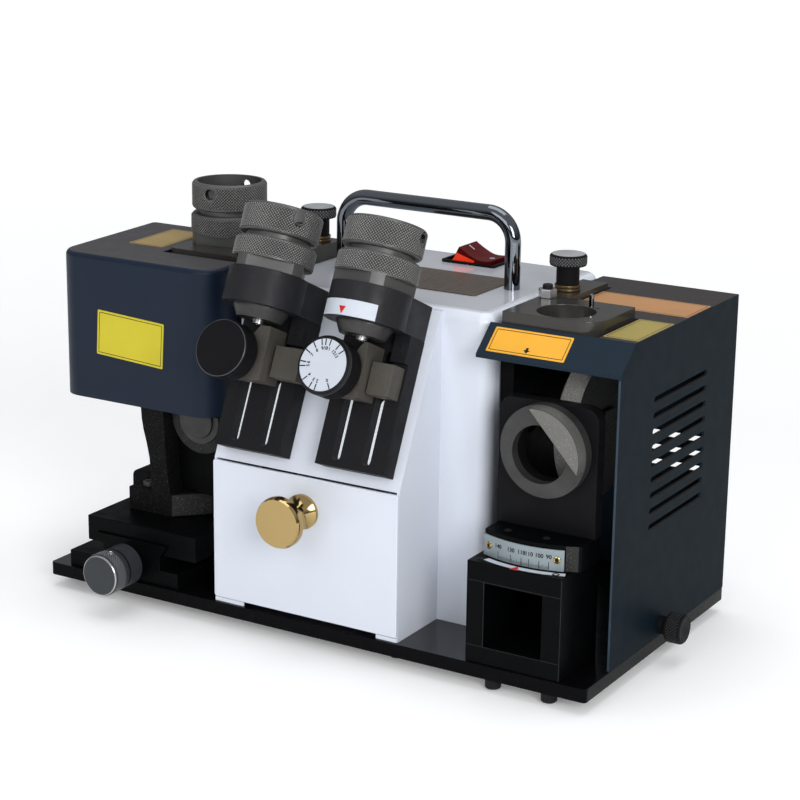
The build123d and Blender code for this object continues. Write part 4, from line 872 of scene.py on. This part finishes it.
def framed(name, plane, size, face, body):
    """A blank plate with a thin dark line inside its edge."""
    width, height = size
    slabs(name, plane, [rounded(width, height, PLATE_CORNER)], PLATE_THICKNESS, face, body, "scale_plate")
    outer = rounded(width - 2 * LINE_OUTER_INSET, height - 2 * LINE_OUTER_INSET, PLATE_CORNER / 2)
    inner = rounded(width - 2 * LINE_INNER_INSET, height - 2 * LINE_INNER_INSET, PLATE_CORNER / 4)
    origin, u_axis, v_axis = (Vector(p) for p in plane)
    normal = u_axis.cross(v_axis).normalized()
    points = [origin + u_axis * u + v_axis * v + normal * PLATE_LINE_LIFT for u, v in outer + inner]
    count = len(outer)
    faces = [[i, (i + 1) % count, count + (i + 1) % count, count + i] for i in range(count)]
    piece(f"{name}_line", points, faces, PRINT_AND_SHADE, body, "knob_black", smooth=False)


lip_slope = Vector((0, 20.0, 17.6)).normalized()
lip_plane = (Vector((153.0, COVER_FRONT, 223.4)) + lip_slope * 13.3, ACROSS, lip_slope)
framed("lip_plate", lip_plane, (58.0, 20.2), AMBER, "wheel_cover")
arrow = [(-0.9, -3.2), (-0.9, -5.2), (-2.4, -5.2), (0.0, -7.6), (2.4, -5.2), (0.9, -5.2), (0.9, -3.2)]
slabs("lip_arrow", lip_plane, [arrow], 0.32, PRINT_AND_SHADE, "wheel_cover", "knob_black")
lean = radians(-3.2)
lean_across = Vector((cos(lean), 0, sin(lean)))
lean_up = Vector((-sin(lean), 0, cos(lean)))
cover_rise = atan2(2.8, 118.0)
slope = Vector((0, cos(cover_rise), sin(cover_rise)))
tan_middle = Vector((-187.8, LEFT_COVER_FRONT, 253.0)) + slope * 73.0
rear_plane = (Vector((182.6, 45.0, COVER_TOP)), ACROSS, REAR)
side_plane = (Vector((211.6, -26.0, COVER_TOP)), ACROSS, REAR)
front_plane = (Vector((-168.3, LEFT_COVER_FRONT, 193.9)), lean_across, lean_up)
framed("top_plate_rear", rear_plane, (83.0, 40.6), DULL_AMBER, "wheel_cover")
framed("top_plate_front", side_plane, (25.6, 57.0), DULL_YELLOW, "wheel_cover")
framed("front_plate", front_plane, (60.5, 33.8), YELLOW, "carriage")
framed("tan_plate", (tan_middle, ACROSS, slope), (31.0, 55.0), TAN, "carriage")
name_plane = (Vector((41.0, 15.0, HOUSING_TOP)), ACROSS, REAR)
slabs("name_plate", name_plane, [rounded(80, 61, 1.5)], 0.7, BRONZE, "frame", "wheel_body", 0.2)

# Adjusting knobs, the cover's thumbscrew and the feed knob
ADJUSTER_TOP = [(11.8, 26.1), (11.7, 26.3), (8.0, 26.32), (7.8, 26.22), (7.6, 26.32), (0, 26.32)]
ADJUSTER_WASHER = [(8.3, 0.05), (9.0, 0.1), (9.2, 0.5), (9.2, 1.6), (9.0, 2.0), (8.3, 2.1)]
ADJUSTER_RADIUS, ADJUSTER_SPAN = 12.92, (18.6, 25.3)
ADJUSTER_GRIP = dict(material=KNOB_GRIP, slot="black_steel", pitch=2.3, depth=0.5)
for name, place, body in (
    ("right", Vector((126.0, 38.0, 245.6)), "right_adjusting"),
    ("left", Vector((-82.0, 35.5, 257.4)), "left_adjusting"),
):
    knurl(f"{name}_adjuster_knurl", place, Z, ADJUSTER_RADIUS, ADJUSTER_SPAN, body=body, **ADJUSTER_GRIP)
    turned(f"{name}_adjuster_top", place, Z, ADJUSTER_TOP, KNOB_TOP, body, "black_steel")
    for index, low in enumerate((0.0, 2.4)):
        washer_name = f"{name}_adjuster_washer_{index}"
        turned(washer_name, place + Z * low, Z, ADJUSTER_WASHER, WASHER, body, "polished_brass")
THUMB_RADIUS, THUMB_SPAN = 10.52, (6.8, 16.6)
thumb_place = (225.1, 3.0, 25.7)
thumb_grip = dict(material=THUMB_GRIP, body="cover_screw", slot="black_steel", pitch=2.2, depth=0.4)
knurl("thumb_knurl", thumb_place, ACROSS, THUMB_RADIUS, THUMB_SPAN, **thumb_grip)
FEED_RADIUS, FEED_SPAN, SET_SCREW_ALONG = 15.52, (20.0, 30.2), 22.0
feed_axis = Vector((0, -1, 0))
feed_back = Vector((-150.0, -117.5, 33.3))
feed_grip = dict(material=FEED_GRIP, body="feed", slot="black_steel", pitch=2.1, depth=0.4)
feed_rim = [(14.3, 32.02), (14.45, 32.03), (14.9, 31.65), (15.1, 31.3)]
feed_ring = [(15.5, 14.6), (15.62, 14.7), (15.62, 16.2), (15.5, 16.3)]
set_screw = [(0, 0.1), (1.3, 0.1), (1.5, 0.5), (2.1, 0.6), (2.3, 0.0)]
set_screw_place = feed_back + feed_axis * SET_SCREW_ALONG + Vector((3.0, 0, 15.2))
set_screw_way = Vector((0.2, 0, 0.98))
knurl("feed_knurl", feed_back, feed_axis, FEED_RADIUS, FEED_SPAN, **feed_grip)
turned("feed_rim", feed_back, feed_axis, feed_rim, BRIGHT, "feed", "bare_steel")
turned("feed_ring", feed_back, feed_axis, feed_ring, KNOB, "feed", "black_steel")
turned("feed_set_screw", set_screw_place, set_screw_way, set_screw, BRIGHT, "feed", "bare_steel", segments=24)

# Small fasteners
BOLT_EDGE, BOLT_SOCKET, BOLT_SOCKET_DEPTH = 0.8, 2.9, 1.6
for index, (x, drop, radius) in enumerate(((76.0, 2.2, 5.0), (152.0, 7.6, 5.6), (194.4, 7.6, 5.6))):
    head = [(radius, 0), (radius, drop - BOLT_EDGE), (radius - BOLT_EDGE, drop), (BOLT_SOCKET, drop)]
    head += [(BOLT_SOCKET - 0.2, drop - BOLT_SOCKET_DEPTH), (0, drop - BOLT_SOCKET_DEPTH)]
    turned(f"base_bolt_{index}", (x, -106.5, 9.0), -Z, head, BLACK, "frame", "black_steel", segments=40)


def socket_screw(name, origin, axis, radius, height, material, body):
    """A round head with a socket in its top."""
    head = [(radius, 0.0), (radius, height - 0.5), (radius - 0.5, height), (radius * 0.55, height)]
    head += [(radius * 0.5, height * 0.4), (0, height * 0.4)]
    turned(name, origin, axis, head, material, body, "black_steel", segments=40)


NUT_X, NUT_Y, NUT_RADIUS = 131.6, -3.6, 6.6
corners = [radians(60 * i + 12) for i in range(6)]
hexagon = [(NUT_RADIUS * cos(a), NUT_RADIUS * sin(a)) for a in corners]
nut_plane = (Vector((NUT_X, NUT_Y, SEAT_TOP)), ACROSS, REAR)
slabs("seat_nut", nut_plane, [hexagon], 6.2, BRIGHT, "frame", "bare_steel", 0.5)
stud = [(3.6, 5.0), (3.6, 8.6), (3.0, 9.2), (0, 9.2)]
pin = [(1.8, 0), (1.8, 8.2), (1.2, 8.8), (0, 8.8)]
ball = [(0.8, 0), (0.7, 0.3), (0.4, 0.5), (0, 0.55)]
pin_hole = [(1.6, 0.0), (1.5, 0.08), (1.2, 0.06), (0, 0.04)]
for name, x, y, profile, material, slot, segments in (
    ("seat_stud", NUT_X, NUT_Y, stud, PRINT_AND_SHADE, "black_steel", 32),
    ("seat_pin", 169.4, -12.4, pin, CHROME, "bare_steel", 28),
    ("seat_ball", 182.6, -40.2, ball, BRIGHT, "bare_steel", 24),
    # Painted shade: the pin hole is a dark disc for the shade in the hole
    ("seat_pin_hole", 175.6, -15.6, pin_hole, PRINT_AND_SHADE, "black_steel", 24),
):
    turned(name, (x, y, SEAT_TOP), Z, profile, material, "frame", slot, segments)
for name, x in FIXTURE_X.items():
    socket_screw(f"{name}_pad_screw", panel_point(x + 21.2, 94.5, 20.0), OUT, 2.6, 0.6, BLACK, "frame")
for index, place in enumerate(((-163.5, -71.0, 79.0), (-175.0, -32.0, 84.5))):
    socket_screw(f"casting_bolt_{index}", place, Z, 4.6, 3.2, EDGE_GREY, "carriage")
for name, places, body in (
    ("portal", ((139.7, -106.5, PORTAL_TOP), (196.5, -106.8, PORTAL_TOP)), "frame"),
    ("block", ((152.8, -92.0, 109.3), (181.6, -92.4, 109.3)), "swivel"),
):
    for index, place in enumerate(places):
        socket_screw(f"{name}_bolt_{index}", place, Z, 2.8, 0.4, BLACK, body)

# Casting that carries the left cover: foot, ear, waisted wall, web, ledge and round boss
foot = [(-175.0, -81.5), (-136.4, -81.5), (-113.0, -58.1), (-113.0, 15.0), (-175.0, 15.0)]
EAR_LEFT, EAR_TOP, EAR_CORNER = -188.0, 84.5, 5.0
ear = [(EAR_LEFT, 61.1), (-143.5, 61.1), (-143.5, EAR_TOP)]
for corner in range(90, 181, 15):
    u = EAR_LEFT + EAR_CORNER + EAR_CORNER * cos(radians(corner))
    v = EAR_TOP - EAR_CORNER + EAR_CORNER * sin(radians(corner))
    ear.append((u, v))
wall_left = [
    (-154.0, 78.5), (-154.6, 92.0), (-155.3, 104.0), (-157.8, 116.0),
    (-160.3, 125.0), (-161.9, 134.0), (-162.4, 142.0), (-162.0, 245.2),
]
wall_right = [
    (-143.0, 245.2), (-143.0, 143.0), (-141.5, 141.3),
    (-140.3, 115.0), (-138.2, 90.0), (-136.5, 78.5),
]
wall = wall_left + wall_right
web = box_outline(-142.0, -100.0, 78.5, 142.8)
ledge = [(-166.0, -81.4), (-115.0, -81.4), (-115.0, -25.5), (-158.0, -25.5), (-158.0, 15.0), (-166.0, 15.0)]
on_carriage = ("carriage", "black_steel")
slabs("casting_foot", (Z * 61.0, ACROSS, REAR), [foot], 18.0, CAST, *on_carriage, 1.0)
slabs("casting_ear", (REAR * 14.8, ACROSS, Z), [ear], 74.8, CAST, *on_carriage, 0.8)
casting_wall = slabs("casting_wall", (REAR * -39.5, ACROSS, Z), [wall], 42.0, CAST, *on_carriage, 0.8)
slabs("casting_web", (REAR * -58.0, ACROSS, Z), [web], 8.0, DEEP, *on_carriage, 0.5)
slabs("casting_ledge", (Z * 232.3, ACROSS, REAR), [ledge], 13.0, CAST, *on_carriage, 0.5)
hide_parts("head_casting")
chamfer = [(-135.5, -80.65, 62.0), (-113.9, -59.05, 62.0), (-113.9, -59.05, 78.0), (-135.5, -80.65, 78.0)]
piece("casting_chamfer", chamfer, [[0, 1, 2, 3]], SPECKLED, *on_carriage)
BOSS_CUT, BOSS_STEPS = 5.0, 40


def boss_outline(radius):
    """A disc cut off level just below the cover."""
    rise = asin(BOSS_CUT / radius)
    turns = spread(pi - rise, pi + 2 * rise, BOSS_STEPS)
    return [(radius * cos(turn), radius * sin(turn)) for turn in turns]


boss_plane = (Vector((-115.0, -66.0, 137.5)), ACROSS, Z)
slabs("casting_boss", boss_plane, [boss_outline(25.5)], 6.0, SPECKLED, *on_carriage, 0.8)
slabs("boss_step", boss_plane, [boss_outline(17.7)], 8.0, RING, *on_carriage, 0.8)
boss_look = slabs("boss_look", boss_plane, [boss_outline(13.0)], 10.0, RING, *on_carriage, 1.2)
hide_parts("boss_cap")

# Painted highlights on the portal's four bars: thin pale lines along their joints and two of their edges
PORTAL_LEFT, PORTAL_RIGHT = 133.8, 204.2
JOINT_HALF, SIDE_HALF, CORNER_HALF = 0.175, 0.3, 0.25
portal_edge_highlights = [box_outline(PORTAL_LEFT, PORTAL_RIGHT, z - JOINT_HALF, z + JOINT_HALF) for z in (77.6, 31.3)]
for x, half, low, high in ((146.6, SIDE_HALF, 31.6, 77.4), (204.0, CORNER_HALF, 19.6, 90.4)):
    portal_edge_highlights.append(box_outline(x - half, x + half, low, high))
slabs("portal_edge_highlights", (REAR * PORTAL_FRONT, ACROSS, Z), portal_edge_highlights, 0.04, EDGE_HIGHLIGHT_GREY, "frame", "black_steel")

# Rocker of the switch, tipped to its left end
ROCKER_FRONT, ROCKER_REAR = 74.0, 101.0
ROCKER_MIDDLE = (ROCKER_FRONT + ROCKER_REAR) / 2
rocker_side = [
    (8.6, 243.5), (12.9, 249.0), (17.2, 257.6), (19.6, 256.1), (22.0, 254.6), (24.5, 253.2), (27.0, 251.9),
    (29.7, 250.6), (32.5, 249.6), (35.4, 249.1), (38.2, 249.0), (41.2, 249.2), (44.0, 249.8), (43.4, 243.5),
]
rocker_plane = (REAR * ROCKER_REAR, ACROSS, Z)
rocker_depth = ROCKER_REAR - ROCKER_FRONT
rocker = slabs("rocker_look", rocker_plane, [rocker_side], rocker_depth, RED, "rocker", "switch_red", 0.3)
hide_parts("switch_rocker")
# Painted light: the front face of the rocker's raised end is lighter red and glows, where the lamps fall on
# it
lit_face = [(9.4, 244.2), (13.4, 249.2), (15.4, 253.0), (30.5, 248.4), (30.0, 244.2)]
slabs("rocker_lit", (REAR * ROCKER_FRONT, ACROSS, Z), [lit_face], 0.06, LIT_RED, "rocker", "switch_red")
rocker_slope = Vector((9.0, 0, -5.6)).normalized()
mark_plane = (Vector((20.8, ROCKER_MIDDLE, 255.35)), rocker_slope, REAR)
on_mark = box_outline(-2.8, 2.8, -0.4, 0.4)
slabs("rocker_mark", mark_plane, [on_mark], 0.25, DIAL, "rocker", "dial_white")
off_mark = [(1.5, 0.0), (1.5, 0.3), (2.0, 0.3), (2.0, 0.0)]
turned("rocker_ring", (38.4, ROCKER_MIDDLE, 248.9), Z, off_mark, DIAL, "rocker", "dial_white", segments=32)


# Stage, light and camera, in metres
FLOOR_REACH = 16
GLOW_NEAR, GLOW_FAR = (0.6, 0.16), (3.2, 0.72)
SKY_LOW, SKY_HIGH, SKY_COLOR = (0.05, 0.10), (0.60, 0.55), (0.94, 0.97, 1.0, 1.0)


def studio_floor():
    """A wide pale floor that stays pale where the lamps fade, as the eye and mirrors see it."""
    mesh = bpy.data.meshes.new("studio_floor")
    corners = [(x, y, 0) for x, y in box_outline(-FLOOR_REACH, FLOOR_REACH, -FLOOR_REACH, FLOOR_REACH)]
    mesh.from_pydata(corners, [], [[0, 1, 2, 3]])
    white = finish_material("floor_white", (250, 250, 250), 0.85, shift=0.01)
    tree = white.node_tree
    link = tree.links.new
    place = tree.nodes.new("ShaderNodeTexCoord")
    reach = tree.nodes.new("ShaderNodeVectorMath")
    reach.operation = "LENGTH"
    link(place.outputs["Object"], reach.inputs[0])
    fade = tree.nodes.new("ShaderNodeMapRange")
    fade.inputs["From Min"].default_value, fade.inputs["To Min"].default_value = GLOW_NEAR
    fade.inputs["From Max"].default_value, fade.inputs["To Max"].default_value = GLOW_FAR
    link(reach.outputs["Value"], fade.inputs["Value"])
    rays = tree.nodes.new("ShaderNodeLightPath")
    glow = None
    for kind in ("Is Camera Ray", "Is Glossy Ray", "Is Transmission Ray"):
        part = tree.nodes.new("ShaderNodeMath")
        part.operation = "MULTIPLY_ADD"
        part.inputs[2].default_value = 0.0
        link(rays.outputs[kind], part.inputs[0])
        link(fade.outputs["Result"], part.inputs[1])
        if glow:
            link(glow, part.inputs[2])
        glow = part.outputs["Value"]
    link(glow, tree.nodes["Principled BSDF"].inputs["Emission Strength"])
    mesh.materials.append(white)
    floor = bpy.data.objects.new("studio_floor", mesh)
    bpy.context.scene.collection.objects.link(floor)
    floor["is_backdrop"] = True


def soft_box(name, place, target, size, power):
    """A rectangular lamp that looks at a target."""
    light = bpy.data.lights.new(name, "AREA")
    light.shape = "RECTANGLE"
    light.size, light.size_y = size
    light.energy = power
    lamp = bpy.data.objects.new(name, light)
    lamp.location = place
    lamp.rotation_euler = (Vector(target) - Vector(place)).to_track_quat("-Z", "Y").to_euler()
    bpy.context.scene.collection.objects.link(lamp)


def studio_world():
    """A pale sky, brighter overhead than near the horizon."""
    world = bpy.data.worlds.new("studio")
    world.use_nodes = True
    tree = world.node_tree
    link = tree.links.new
    background = tree.nodes["Background"]
    place = tree.nodes.new("ShaderNodeTexCoord")
    axes = tree.nodes.new("ShaderNodeSeparateXYZ")
    level = tree.nodes.new("ShaderNodeMapRange")
    level.inputs["From Min"].default_value, level.inputs["To Min"].default_value = SKY_LOW
    level.inputs["From Max"].default_value, level.inputs["To Max"].default_value = SKY_HIGH
    link(place.outputs["Generated"], axes.inputs["Vector"])
    link(axes.outputs["Z"], level.inputs["Value"])
    link(level.outputs["Result"], background.inputs["Strength"])
    background.inputs["Color"].default_value = SKY_COLOR
    bpy.context.scene.world = world


studio_floor()
soft_box("front_box", (0.0, -2.4, 1.2), (0, 0, 0.12), (1.6, 1.1), 13)
soft_box("right_box", (1.7, -1.5, 0.95), (0, 0, 0.15), (1.0, 1.0), 29)
soft_box("top_box", (0.0, 0.25, 2.2), (0, 0, 0.1), (1.6, 1.6), 16)
studio_world()
bpy.context.scene.view_settings.view_transform = "Standard"

FOCAL_PIXELS, IMAGE_PIXELS, SENSOR_WIDTH, VIEW_REACH = 2151.403, 800, 36.0, 50.0
CAMERA_PLACE = Vector((786.587, -1294.868, 580.371)) * MM
azimuth, elevation, roll = radians(30.879), radians(15.714), radians(-0.75)
camera_data = bpy.data.cameras.new("camera")
camera_data.sensor_width = SENSOR_WIDTH
camera_data.lens = FOCAL_PIXELS / IMAGE_PIXELS * SENSOR_WIDTH
camera_data.clip_end = VIEW_REACH
camera = bpy.data.objects.new("camera", camera_data)
back = Vector((sin(azimuth) * cos(elevation), -cos(azimuth) * cos(elevation), sin(elevation)))
level = Vector((cos(azimuth), sin(azimuth), 0))
upright = back.cross(level)
right = level * cos(roll) - upright * sin(roll)
upward = level * sin(roll) + upright * cos(roll)
turn = Matrix((right, upward, back)).transposed().to_4x4()
camera.matrix_world = Matrix.Translation(CAMERA_PLACE) @ turn
bpy.context.scene.collection.objects.link(camera)
bpy.context.scene.camera = camera

low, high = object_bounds()
